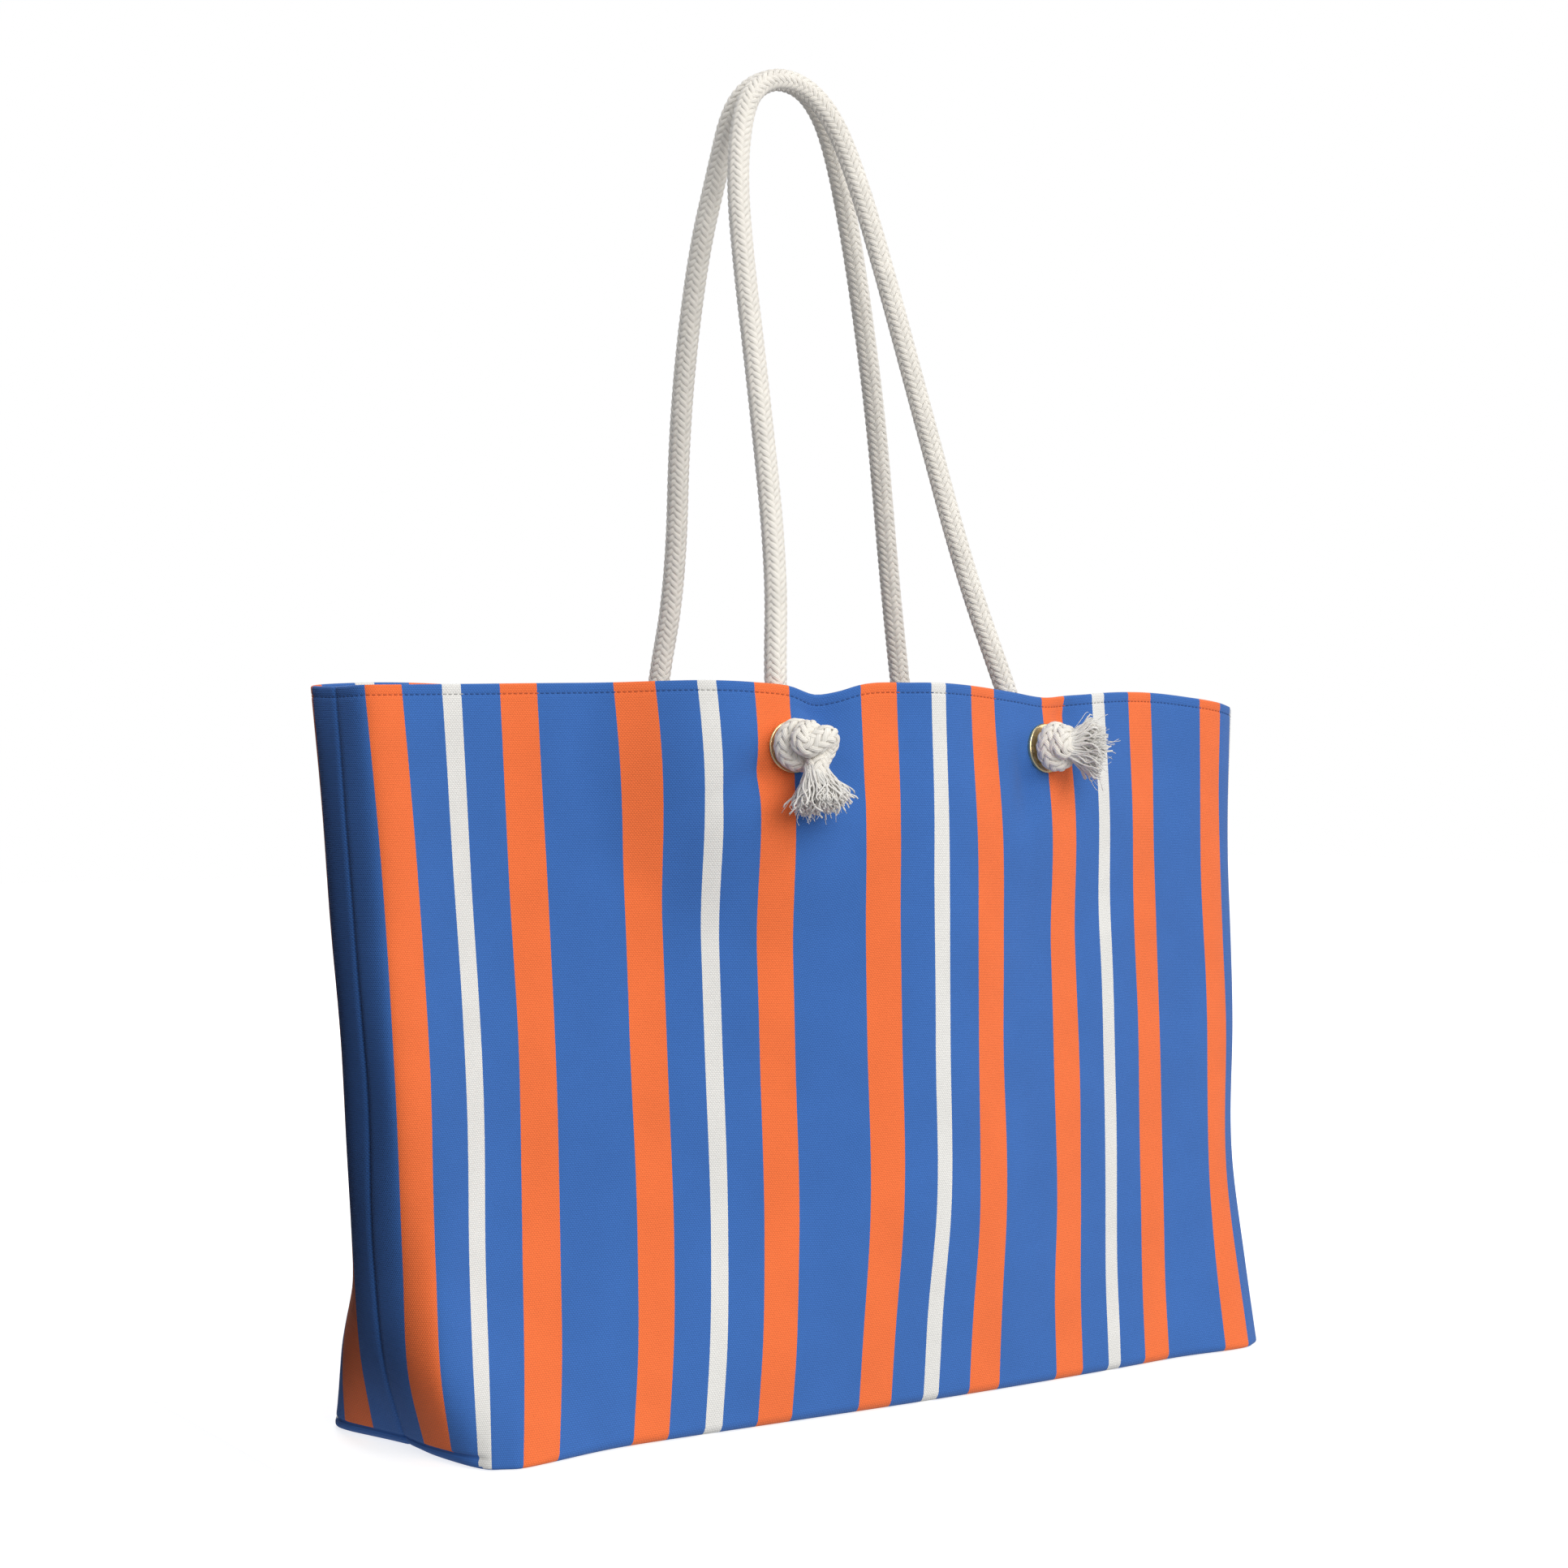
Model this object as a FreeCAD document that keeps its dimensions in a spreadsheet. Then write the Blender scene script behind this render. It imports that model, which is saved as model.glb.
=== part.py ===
import FreeCAD, Part
import math
import os
import Sketcher
from FreeCAD import Placement, Rotation, Vector

# Rope-handle beach tote: a striped canvas shell with a boxed bottom, a loose lining with a slip pocket,
# four brass grommets and two braided rope handles knotted on the outside.
# Frame: origin at the bottom centre, +X along the front panel, -Y out of the front panel, +Z up. Millimetres.

DIMENSIONS = [
    ("bag_height", 340.0),
    # Outline of the bag on the ground: four corners joined by bowed sides.
    ("bottom_front_half_width", 228.0),
    ("bottom_back_half_width", 238.0),
    ("bottom_front_corner", 55.0),
    ("bottom_back_corner", 72.0),
    ("bottom_front_middle", 84.5),
    ("bottom_back_middle", 84.5),
    ("bottom_side_reach", 245.0),
    ("bottom_side_middle", 8.0),
    # Outline of the mouth, drawn in at the sides because the gussets fold flat up there.
    ("rim_half_width", 246.0),
    ("rim_front_corner", -6.0),
    ("rim_back_corner", 60.0),
    ("rim_front_middle", 58.0),
    ("rim_back_middle", 78.0),
    ("rim_side_reach", 262.0),
    ("rim_side_middle", 35.0),
    # Cloth layers, counted inwards from the outer face of the canvas.
    ("canvas_thickness", 1.0),
    ("bottom_gap", 0.15),
    ("facing_thickness", 0.8),
    ("facing_depth", 45.0),
    ("allowance_start", 1.05),
    ("allowance_end", 1.75),
    ("lining_start", 1.9),
    ("lining_end", 2.3),
    ("side_allowance_width", 16.0),
    ("bottom_allowance_start", 1.2),
    ("bottom_allowance_end", 8.0),
    ("side_allowance_low", 10.0),
    ("allowance_strip_inner_reach", 200.0),
    ("allowance_strip_outer_reach", 300.0),
    ("topstitch_drop", 3.8),
    ("topstitch_width", 0.6),
    ("topstitch_height", 0.25),
    # Slip pocket on the back of the lining.
    ("pocket_width", 150.0),
    ("pocket_bottom", 160.0),
    ("pocket_height", 120.0),
    ("pocket_hollow", 9.0),
    ("pocket_cloth", 0.5),
    ("pocket_hem_height", 12.0),
    # Grommets.
    ("grommet_drop", 28.0),
    ("grommet_front_left", -68.0),
    ("grommet_front_right", 84.0),
    ("grommet_back_left", -74.0),
    ("grommet_back_right", 84.0),
    ("grommet_bore_radius", 6.4),
    ("grommet_barrel_radius", 7.1),
    ("grommet_flange_radius", 12.4),
    ("grommet_barrel_depth", 3.2),
    ("grommet_total_depth", 4.9),
    ("grommet_edge_round", 0.8),
    ("washer_bore_radius", 7.2),
    ("washer_radius", 11.4),
    ("washer_thickness", 0.9),
    ("washer_gap", 0.3),
    ("cloth_hole_radius", 7.3),
    # Rope.
    ("rope_diameter", 11.0),
    ("handle_gap", 0.3),
    ("handle_trim_height", 400.0),
]

# Rope routes, millimetres. Each handle runs from the mouth on the left, over the top, and down to the mouth
# on the right.
FRONT_HANDLE_ROUTE = [
    (-72, -46.5, 330), (-64, -36, 398), (-65, -21, 485), (-67, -10, 550), (-66, -3, 590), (-60, 2, 621),
    (-51, 5, 637), (-36, 6, 644), (-19, 6, 641), (-6, 3, 627), (4, -1, 602), (14, -8, 562),
    (31, -22, 480), (47, -36, 400), (69, -46.5, 330),
]
BACK_HANDLE_ROUTE = [
    (-71, 70, 330), (-64, 59, 396), (-70, 45, 480), (-67, 33, 555), (-59, 26, 600), (-55, 21, 626),
    (-46, 19, 640), (-31, 18, 647), (-15, 18, 645), (-2, 20, 634), (8, 23, 616), (19, 28, 588),
    (32, 34, 545), (50, 45, 480), (66, 57, 405), (84, 70, 330),
]
# Each lower stretch runs from its knot, through the grommet, and up the inside of the bag to the mouth.
LOWER_ROUTES = {
    "front_left": [(-71, -73, 313.5), (-66.6, -43, 311), (-71, -45, 341)],
    "front_right": [(87, -70, 313.5), (82, -41, 311), (66, -45, 341)],
    "back_left": [(-75, 96, 312.5), (-73.5, 64, 311.5), (-70, 68.3, 341)],
    "back_right": [(85.5, 95, 312.5), (83.5, 63.5, 311.5), (82, 68.3, 341)],
}
# Knot lobes as (centre, radius), then the frayed end as (base, tip, base radius, tip radius).
KNOTS = {
    "front_left": [((-74, -71.5, 311), 12.8), ((-70, -87, 311), 10.5)],
    "front_right": [((80, -69.5, 312), 12.5), ((81, -76, 312), 11.0)],
    "back_left": [((-73, 93.5, 311), 12.8), ((-75, 108, 309), 10.5)],
    "back_right": [((84, 92.5, 312), 12.8), ((86, 107, 310), 10.5)],
}
FRAYED_ENDS = {
    "front_left": ((-69, -89, 300), (-66, -89, 277), 7.0, 13.0),
    "front_right": ((81.5, -80, 312), (83, -98, 310), 8.0, 14.0),
    "back_left": ((-76, 109, 298), (-79, 110, 276), 7.0, 12.0),
    "back_right": ((87, 108, 299), (90, 108, 277), 7.0, 12.0),
}

SIDES = ("front", "left", "back", "right")
CORNERS = {"front": ("front_left", "front_right"), "right": ("front_right", "back_right"),
           "back": ("back_right", "back_left"), "left": ("back_left", "front_left")}
SHORTER_RUN_SHARE = 0.45
PIPE_TOLERANCE = 0.02
# Boxes that trim the cloth and the ropes are longer and wider than the bag.
TRIM_LENGTH = 700.0
TRIM_WIDTH = 400.0
HOLE_CUTTER_LENGTH = 20.0
SLOPE_STEP = 5.0
FULL_TURN = 360

doc = FreeCAD.newDocument("beach_bag")
sheet = doc.addObject("Spreadsheet::Sheet", "dims")
for row, (alias, value) in enumerate(DIMENSIONS, start=1):
    sheet.set("A%d" % row, alias)
    sheet.set("B%d" % row, str(value))
    sheet.setAlias("B%d" % row, alias)
doc.recompute()

nodes = []


def size(alias):
    """A driving dimension, read from the sheet."""
    return float(sheet.get(alias))


def keep(item, label):
    """Mark a document object as a finished piece of the bag."""
    item.Label = label
    nodes.append(item)
    return item


def feature(name, shape):
    """A document object that holds a shape made in code."""
    item = doc.addObject("Part::Feature", name)
    item.Shape = shape
    item.Placement = Placement()
    return item


def boolean(kind, name, base, tool):
    """A cut or a common of two document objects."""
    item = doc.addObject(kind, name)
    item.Base = base
    item.Tool = tool
    return item


# ---------------------------------------------------------------- cloth walls

def outline_points(level):
    """Corner and mid-side points of the outer face of the canvas, at the ground or at the rim."""
    if level == "bottom":
        front = size("bottom_front_half_width")
        back = size("bottom_back_half_width")
        z = 0.0
    else:
        front = size("rim_half_width")
        back = front
        z = size("bag_height")
    front_y = -size(level + "_front_corner")
    back_y = size(level + "_back_corner")
    side_y = size(level + "_side_middle")
    reach = size(level + "_side_reach")
    corners = {"front_left": Vector(-front, front_y, z), "front_right": Vector(front, front_y, z),
               "back_left": Vector(-back, back_y, z), "back_right": Vector(back, back_y, z)}
    middles = {"front": Vector(0, -size(level + "_front_middle"), z), "left": Vector(-reach, side_y, z),
               "back": Vector(0, size(level + "_back_middle"), z), "right": Vector(reach, side_y, z)}
    return corners, middles


def moved_in(level, depth):
    """The same outline, a depth further inside the bag, with the corners mitred."""
    corners, middles = outline_points(level)
    inward = {"front": Vector(0, 1, 0), "left": Vector(1, 0, 0),
              "back": Vector(0, -1, 0), "right": Vector(-1, 0, 0)}
    for name in corners:
        first, second = name.split("_")
        corners[name] = corners[name] + (inward[first] + inward[second]) * depth
    for name in middles:
        middles[name] = middles[name] + inward[name] * depth
    return corners, middles


def strip_wire(level, side, outer, inner):
    """Closed outline of one wall's cloth at one level, between two depths."""
    start, end = CORNERS[side]
    outer_corners, outer_middles = moved_in(level, outer)
    inner_corners, inner_middles = moved_in(level, inner)
    outside = Part.Arc(outer_corners[start], outer_middles[side], outer_corners[end]).toShape()
    inside = Part.Arc(inner_corners[end], inner_middles[side], inner_corners[start]).toShape()
    near = Part.makeLine(inner_corners[start], outer_corners[start])
    far = Part.makeLine(outer_corners[end], inner_corners[end])
    return Part.Wire([outside, far, inside, near])


def wall_shape(side, outer, inner):
    """One wall's cloth from the ground to the rim, between two depths."""
    wires = [strip_wire(level, side, outer, inner) for level in ("bottom", "rim")]
    return Part.makeLoft(wires, True, True)


def floor_shape(depth, low, high):
    """A flat bottom cloth that fills the outline at a depth, between two heights."""
    corners, middles = moved_in("bottom", depth)
    edges = []
    for side in ("front", "right", "back", "left"):
        start, end = CORNERS[side]
        edges.append(Part.Arc(corners[start], middles[side], corners[end]).toShape())
    face = Part.Face(Part.Wire(edges))
    face.translate(Vector(0, 0, low))
    return face.extrude(Vector(0, 0, high - low))


def slab(name, low, high):
    """A wide box between two heights, whose heights are expressions on the sheet."""
    box = doc.addObject("Part::Box", name)
    box.Length = TRIM_LENGTH
    box.Width = TRIM_WIDTH
    box.setExpression("Height", "(%s) - (%s)" % (high, low))
    box.Placement = Placement(Vector(-TRIM_LENGTH / 2, -TRIM_WIDTH / 2, 0), Rotation())
    box.setExpression("Placement.Base.z", low)
    return box


def bow(along, half_chord, edge, middle):
    """Reach of a shallow arc at a distance along its chord."""
    rise = middle - edge
    radius = (half_chord ** 2 + rise ** 2) / (2 * rise)
    return middle - radius + math.sqrt(radius ** 2 - along ** 2)


def wall_reach(side, x, z):
    """How far the front or back canvas stands out from the middle plane at a place on it."""
    share = z / size("bag_height")
    half_width = size("bottom_%s_half_width" % side)
    low = bow(x, half_width, size("bottom_%s_corner" % side), size("bottom_%s_middle" % side))
    high = bow(x, size("rim_half_width"), size("rim_%s_corner" % side), size("rim_%s_middle" % side))
    return low + (high - low) * share


# ---------------------------------------------------------------- grommets

def grommet_names():
    """The four grommets, as the side of the bag and the hand they are on."""
    return [(side, hand) for side in ("front", "back") for hand in ("left", "right")]


def grommet_frame(side, hand):
    """Place and outward direction of a grommet on the outer face of the canvas."""
    out = -1.0 if side == "front" else 1.0
    x = size("grommet_%s_%s" % (side, hand))
    z = size("bag_height") - size("grommet_drop")
    along = wall_reach(side, x + SLOPE_STEP, z) - wall_reach(side, x - SLOPE_STEP, z)
    upward = wall_reach(side, x, z + SLOPE_STEP) - wall_reach(side, x, z - SLOPE_STEP)
    normal = Vector(-along, 2 * SLOPE_STEP * out, -upward)
    normal.normalize()
    return Vector(x, out * wall_reach(side, x, z), z), normal


def profile_value(text):
    """The value of a profile coordinate: zero, or one dimension of the sheet."""
    if text == "0":
        return 0.0
    return size(text.replace("dims.", ""))


def turned_body(name, profile, place, direction):
    """A ring turned about its own Z axis. The profile's corners are (radius, height) expressions."""
    body = doc.addObject("PartDesign::Body", name)
    plane = [item for item in body.Origin.OriginFeatures if item.Role == "XZ_Plane"][0]
    sketch = body.newObject("Sketcher::SketchObject", name + "_profile")
    sketch.AttachmentSupport = [(plane, "")]
    sketch.MapMode = "FlatFace"
    values = [tuple(profile_value(text) for text in corner) for corner in profile]
    count = len(profile)
    for index in range(count):
        start = Vector(values[index][0], values[index][1], 0)
        end = Vector(values[(index + 1) % count][0], values[(index + 1) % count][1], 0)
        sketch.addGeometry(Part.LineSegment(start, end), False)
    for index in range(count):
        sketch.addConstraint(Sketcher.Constraint("Coincident", index, 2, (index + 1) % count, 1))
    for index, (radius, height) in enumerate(profile):
        number = sketch.addConstraint(Sketcher.Constraint("DistanceX", -1, 1, index, 1, values[index][0]))
        sketch.setExpression("Constraints[%d]" % number, radius)
        if values[index][1] == 0:
            sketch.addConstraint(Sketcher.Constraint("PointOnObject", index, 1, -1))
        else:
            number = sketch.addConstraint(Sketcher.Constraint("DistanceY", -1, 1, index, 1, values[index][1]))
            sketch.setExpression("Constraints[%d]" % number, height)
    turning = body.newObject("PartDesign::Revolution", name + "_turning")
    turning.Profile = sketch
    turning.ReferenceAxis = (sketch, ["V_Axis"])
    turning.Angle = FULL_TURN
    body.Placement = Placement(place, Rotation(Vector(0, 0, 1), direction))
    doc.recompute()
    return body, turning


def make_grommet(side, hand):
    """A brass ring: a barrel through the cloth and a rounded flange outside."""
    place, normal = grommet_frame(side, hand)
    base = place - normal * size("grommet_barrel_depth")
    name = "grommet_%s_%s" % (side, hand)
    profile = [
        ("dims.grommet_bore_radius", "0"),
        ("dims.grommet_barrel_radius", "0"),
        ("dims.grommet_barrel_radius", "dims.grommet_barrel_depth"),
        ("dims.grommet_flange_radius", "dims.grommet_barrel_depth"),
        ("dims.grommet_flange_radius", "dims.grommet_total_depth"),
        ("dims.grommet_bore_radius", "dims.grommet_total_depth"),
    ]
    body, turning = turned_body(name, profile, base, normal)
    top = size("grommet_total_depth")
    rims = ["Edge%d" % (index + 1) for index, edge in enumerate(turning.Shape.Edges)
            if abs(edge.BoundBox.ZMin - top) < 1e-4 and abs(edge.BoundBox.ZMax - top) < 1e-4]
    rounding = body.newObject("PartDesign::Fillet", name + "_rounding")
    rounding.Base = (turning, rims)
    rounding.setExpression("Radius", "dims.grommet_edge_round")
    doc.recompute()
    keep(body, name)


def make_washer(side, hand):
    """The flat ring that the barrel is closed over, inside the bag."""
    place, normal = grommet_frame(side, hand)
    stack = size("canvas_thickness") + size("facing_thickness") + size("washer_gap")
    base = place - normal * (stack + size("washer_thickness"))
    name = "grommet_washer_%s_%s" % (side, hand)
    profile = [
        ("dims.washer_bore_radius", "0"),
        ("dims.washer_radius", "0"),
        ("dims.washer_radius", "dims.washer_thickness"),
        ("dims.washer_bore_radius", "dims.washer_thickness"),
    ]
    body, _ = turned_body(name, profile, base, normal)
    keep(body, name)


def grommet_holes(side, name):
    """The two holes of one panel, as one cutting tool."""
    cutters = []
    for hand in ("left", "right"):
        place, normal = grommet_frame(side, hand)
        cutter = doc.addObject("Part::Cylinder", "%s_hole_%s" % (name, hand))
        cutter.setExpression("Radius", "dims.cloth_hole_radius")
        cutter.Height = HOLE_CUTTER_LENGTH
        start = place - normal * HOLE_CUTTER_LENGTH / 2
        cutter.Placement = Placement(start, Rotation(Vector(0, 0, 1), normal))
        cutters.append(cutter)
    pair = doc.addObject("Part::MultiFuse", name + "_holes")
    pair.Shapes = cutters
    return pair


# ---------------------------------------------------------------- bag

def make_canvas():
    """The five panels of the outer shell."""
    canvas = size("canvas_thickness")
    for side in SIDES:
        blank = feature("canvas_%s_blank" % side, wall_shape(side, 0.0, canvas))
        if side in ("front", "back"):
            keep(boolean("Part::Cut", "canvas_%s_cut" % side, blank, grommet_holes(side, "canvas_" + side)),
                 "canvas_%s_panel" % side)
        else:
            keep(blank, "canvas_%s_gusset" % side)
    floor = floor_shape(canvas + size("bottom_gap"), 0.0, canvas)
    keep(feature("canvas_bottom", floor), "canvas_bottom_panel")


def make_rim_facing():
    """The canvas turned in at the mouth, one band along each wall, with the grommet holes."""
    start = size("canvas_thickness")
    band = slab("facing_band", "dims.bag_height - dims.facing_depth", "dims.bag_height")
    for side in SIDES:
        layer = feature("facing_%s_layer" % side, wall_shape(side, start, start + size("facing_thickness")))
        strip = boolean("Part::Common", "facing_%s_strip" % side, layer, band)
        if side in ("front", "back"):
            strip = boolean("Part::Cut", "facing_%s_cut" % side, strip, grommet_holes(side, "facing_" + side))
        keep(strip, "rim_facing_%s" % side)


def make_lining():
    """One sewn sack: four walls and a floor, hung from the lower edge of the facing."""
    start = size("lining_start")
    end = size("lining_end")
    walls = [feature("lining_%s_wall" % side, wall_shape(side, start, end)) for side in SIDES]
    floor = feature("lining_floor", floor_shape(start, start, end))
    sack = doc.addObject("Part::MultiFuse", "lining_sack")
    sack.Shapes = walls + [floor]
    height = slab("lining_height", "dims.lining_start", "dims.bag_height - dims.facing_depth")
    keep(boolean("Part::Common", "lining_trimmed", sack, height), "lining")


def make_seam_allowances():
    """The sewn-in edges between canvas and lining: down both sides and along the boxed ends."""
    start = size("allowance_start")
    end = size("allowance_end")
    half = size("side_allowance_width") / 2
    near = size("allowance_strip_inner_reach")
    far = size("allowance_strip_outer_reach")
    outline = ((near, -half), (far, -half), (far, half), (near, half), (near, -half))
    bottom_band = slab("bottom_allowance_band", "dims.bottom_allowance_start", "dims.bottom_allowance_end")
    for side in ("left", "right"):
        layer = feature("allowance_%s_layer" % side, wall_shape(side, start, end))
        sign = -1 if side == "left" else 1
        wires = []
        for level, z in (("bottom", 0.0), ("rim", size("bag_height"))):
            y = size(level + "_side_middle")
            wires.append(Part.makePolygon([Vector(sign * x, y + offset, z) for x, offset in outline]))
        strip = feature("side_allowance_%s_strip" % side, Part.makeLoft(wires, True, True))
        window = slab("side_allowance_%s_window" % side, "dims.side_allowance_low",
                      "dims.bag_height - dims.facing_depth")
        piece = boolean("Part::Common", "side_allowance_%s_piece" % side, layer, strip)
        keep(boolean("Part::Common", "side_allowance_%s" % side, piece, window), "side_seam_%s" % side)
        low_piece = boolean("Part::Common", "bottom_allowance_%s" % side, layer, bottom_band)
        keep(low_piece, "bottom_seam_%s" % side)


def make_rim_topstitch():
    """The line of thread just below the rim, one length per wall, as a single group."""
    layers = []
    for side in SIDES:
        layers.append(feature("topstitch_%s_layer" % side, wall_shape(side, -size("topstitch_height"), 0.0)))
    ring = doc.addObject("Part::MultiFuse", "topstitch_ring")
    ring.Shapes = layers
    band = slab("topstitch_band", "dims.bag_height - dims.topstitch_drop",
                "dims.bag_height - dims.topstitch_drop + dims.topstitch_width")
    keep(boolean("Part::Common", "topstitch_line", ring, band), "rim_topstitch")


def block(name, width, low, height):
    """A box centred on the bag, behind the middle plane, whose sizes are expressions on the sheet."""
    box = doc.addObject("Part::Box", name)
    box.setExpression("Length", width)
    box.Width = TRIM_WIDTH / 2
    box.setExpression("Height", height)
    box.setExpression("Placement.Base.x", "-(%s) / 2" % width)
    box.setExpression("Placement.Base.z", low)
    return box


def make_pocket():
    """A shallow cloth tray sewn to the back of the lining, open at the top, with a hem on its face."""
    start = size("lining_end")
    cloth = size("pocket_cloth")
    face = start + size("pocket_hollow")
    outer = feature("pocket_outer_layer", wall_shape("back", start, face + cloth))
    hollow = feature("pocket_hollow_layer", wall_shape("back", start, face))
    window = block("pocket_window", "dims.pocket_width", "dims.pocket_bottom", "dims.pocket_height")
    mouth = block("pocket_mouth", "dims.pocket_width - 2 * dims.pocket_cloth",
                  "dims.pocket_bottom + dims.pocket_cloth", "dims.pocket_height")
    solid = boolean("Part::Common", "pocket_solid", outer, window)
    space = boolean("Part::Common", "pocket_space", hollow, mouth)
    keep(boolean("Part::Cut", "pocket_tray", solid, space), "inner_pocket")
    hem = feature("pocket_hem_layer", wall_shape("back", face + cloth, face + 2 * cloth))
    hem_window = block("pocket_hem_window", "dims.pocket_width",
                       "dims.pocket_bottom + dims.pocket_height - dims.pocket_hem_height",
                       "dims.pocket_hem_height")
    keep(boolean("Part::Common", "pocket_hem_strip", hem, hem_window), "inner_pocket_hem")


# ---------------------------------------------------------------- rope

def rounded_path(points):
    """Straight runs joined by tangent arcs, each arc as large as its two runs allow."""
    points = [Vector(*point) for point in points]
    edges = []
    radii = []
    last = points[0]
    for before, corner, after in zip(points, points[1:], points[2:]):
        back = before - corner
        ahead = after - corner
        turn = math.pi - back.getAngle(ahead)
        trim = SHORTER_RUN_SHARE * min(back.Length, ahead.Length)
        radius = trim / math.tan(turn / 2)
        back.normalize()
        ahead.normalize()
        start = corner + back * trim
        end = corner + ahead * trim
        bisector = back + ahead
        bisector.normalize()
        middle = corner + bisector * (radius / math.cos(turn / 2) - radius)
        edges.append(Part.LineSegment(last, start).toShape())
        edges.append(Part.Arc(start, middle, end).toShape())
        radii.append(radius)
        last = end
    edges.append(Part.LineSegment(last, points[-1]).toShape())
    return Part.Wire(edges), radii


def rope_shape(name, points):
    """A round rope along a route, checked against its section times its length."""
    path, radii = rounded_path(points)
    radius = size("rope_diameter") / 2
    start = Vector(*points[0])
    direction = Vector(*points[1]) - start
    section = Part.Wire(Part.makeCircle(radius, start, direction))
    rope = path.makePipeShell([section], True, False)
    expected = math.pi * radius ** 2 * path.Length
    if abs(rope.Volume - expected) > PIPE_TOLERANCE * expected:
        raise RuntimeError("%s: the swept volume is off" % name)
    print("%s: length %.0f mm, radii %s" % (name, path.Length, " ".join("%.0f" % value for value in radii)))
    return rope


def make_rope(name, points, low, high):
    """A rope trimmed between two heights, so that it parts cleanly at the mouth."""
    rope = feature(name + "_sweep", rope_shape(name, points))
    keep(boolean("Part::Common", name + "_trimmed", rope, slab(name + "_window", low, high)), name)


def make_ropes():
    """Two handles above the rim and the four stretches below it."""
    above = "dims.bag_height + dims.handle_gap"
    top = "dims.bag_height + dims.handle_trim_height"
    make_rope("handle_rope_front", FRONT_HANDLE_ROUTE, above, top)
    make_rope("handle_rope_back", BACK_HANDLE_ROUTE, above, top)
    for name, route in LOWER_ROUTES.items():
        make_rope("lower_rope_" + name, route, "0", "dims.bag_height - dims.handle_gap")


def make_knot(name):
    """A knot outside a grommet, as merged round lobes."""
    lobes = []
    for index, (centre, radius) in enumerate(KNOTS[name]):
        lobe = doc.addObject("Part::Sphere", "knot_%s_lobe_%d" % (name, index))
        lobe.Radius = radius
        lobe.Placement = Placement(Vector(*centre), Rotation())
        lobes.append(lobe)
    knot = doc.addObject("Part::MultiFuse", "knot_%s_fused" % name)
    knot.Shapes = lobes
    keep(knot, "knot_" + name)


def make_frayed_end(name):
    """The loose strands past a knot, as a widening cone that starts at the knot's surface."""
    base, tip, base_radius, tip_radius = FRAYED_ENDS[name]
    along = Vector(*tip) - Vector(*base)
    cone = doc.addObject("Part::Cone", "frayed_end_%s_cone" % name)
    cone.Radius1 = base_radius
    cone.Radius2 = tip_radius
    cone.Height = along.Length
    cone.Placement = Placement(Vector(*base), Rotation(Vector(0, 0, 1), along))
    knot = [item for item in nodes if item.Label == "knot_" + name][0]
    keep(boolean("Part::Cut", "frayed_end_%s_cut" % name, cone, knot), "frayed_end_" + name)


# ---------------------------------------------------------------- build and write

make_canvas()
make_rim_facing()
make_lining()
make_seam_allowances()
make_rim_topstitch()
make_pocket()
for side, hand in grommet_names():
    make_grommet(side, hand)
    make_washer(side, hand)
make_ropes()
for name in KNOTS:
    make_knot(name)
    make_frayed_end(name)
doc.recompute()

for item in doc.Objects:
    if "Invalid" in item.State or "Error" in item.State:
        raise RuntimeError("%s failed: %s" % (item.Name, item.State))
os.makedirs("parts", exist_ok=True)
for item in nodes:
    if item.Shape.isNull() or not item.Shape.isValid():
        raise RuntimeError("%s has no valid shape" % item.Label)
    item.Shape.exportStep("parts/%s.step" % item.Label)
    print("%-28s solids %d  volume %.0f mm3" % (item.Label, len(item.Shape.Solids), item.Shape.Volume))
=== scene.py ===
import math
import random

import bmesh
import bpy
import numpy as np
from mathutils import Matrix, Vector


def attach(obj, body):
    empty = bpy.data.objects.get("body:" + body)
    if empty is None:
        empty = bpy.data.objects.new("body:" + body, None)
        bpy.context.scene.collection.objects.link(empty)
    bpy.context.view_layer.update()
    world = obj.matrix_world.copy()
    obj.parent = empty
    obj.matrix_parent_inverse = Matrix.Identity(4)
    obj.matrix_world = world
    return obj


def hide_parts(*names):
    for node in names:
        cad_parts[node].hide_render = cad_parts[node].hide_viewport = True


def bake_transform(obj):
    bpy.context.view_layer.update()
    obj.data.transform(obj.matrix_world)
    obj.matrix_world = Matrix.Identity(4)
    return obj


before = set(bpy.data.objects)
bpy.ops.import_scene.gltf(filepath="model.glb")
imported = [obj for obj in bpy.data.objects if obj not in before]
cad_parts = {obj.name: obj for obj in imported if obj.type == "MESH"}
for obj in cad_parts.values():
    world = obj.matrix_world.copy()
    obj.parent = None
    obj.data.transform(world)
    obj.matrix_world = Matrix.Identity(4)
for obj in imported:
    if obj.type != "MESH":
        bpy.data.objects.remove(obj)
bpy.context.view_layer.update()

# A striped canvas beach tote with a boxed bottom, four brass grommets and two knotted braided rope handles.
# Metres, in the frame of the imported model. Values ending in _MM are millimetres.

MM = 0.001
STRIPE_MM = 18.2                 # one unit of the stripe pattern
ROUND_UNITS = 65.0               # the whole way round the bag, counted in stripe units
RIGHT_SEAM = ROUND_UNITS / 2     # the left side seam is at 0
BOTTOM_CORNERS = (3.5, 29, 36, 61.5)
BAG_HEIGHT_MM = 340
PATTERN_UNITS = 6.5              # the pattern repeats ten times round the bag
CORNERS = ("front_left", "front_right", "back_left", "back_right")


# ---------------------------------------------------------------- camera, floor and light

def put_object(name, data):
    """A new object with this data, in the scene."""
    thing = bpy.data.objects.new(name, data)
    bpy.context.scene.collection.objects.link(thing)
    return thing


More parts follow.
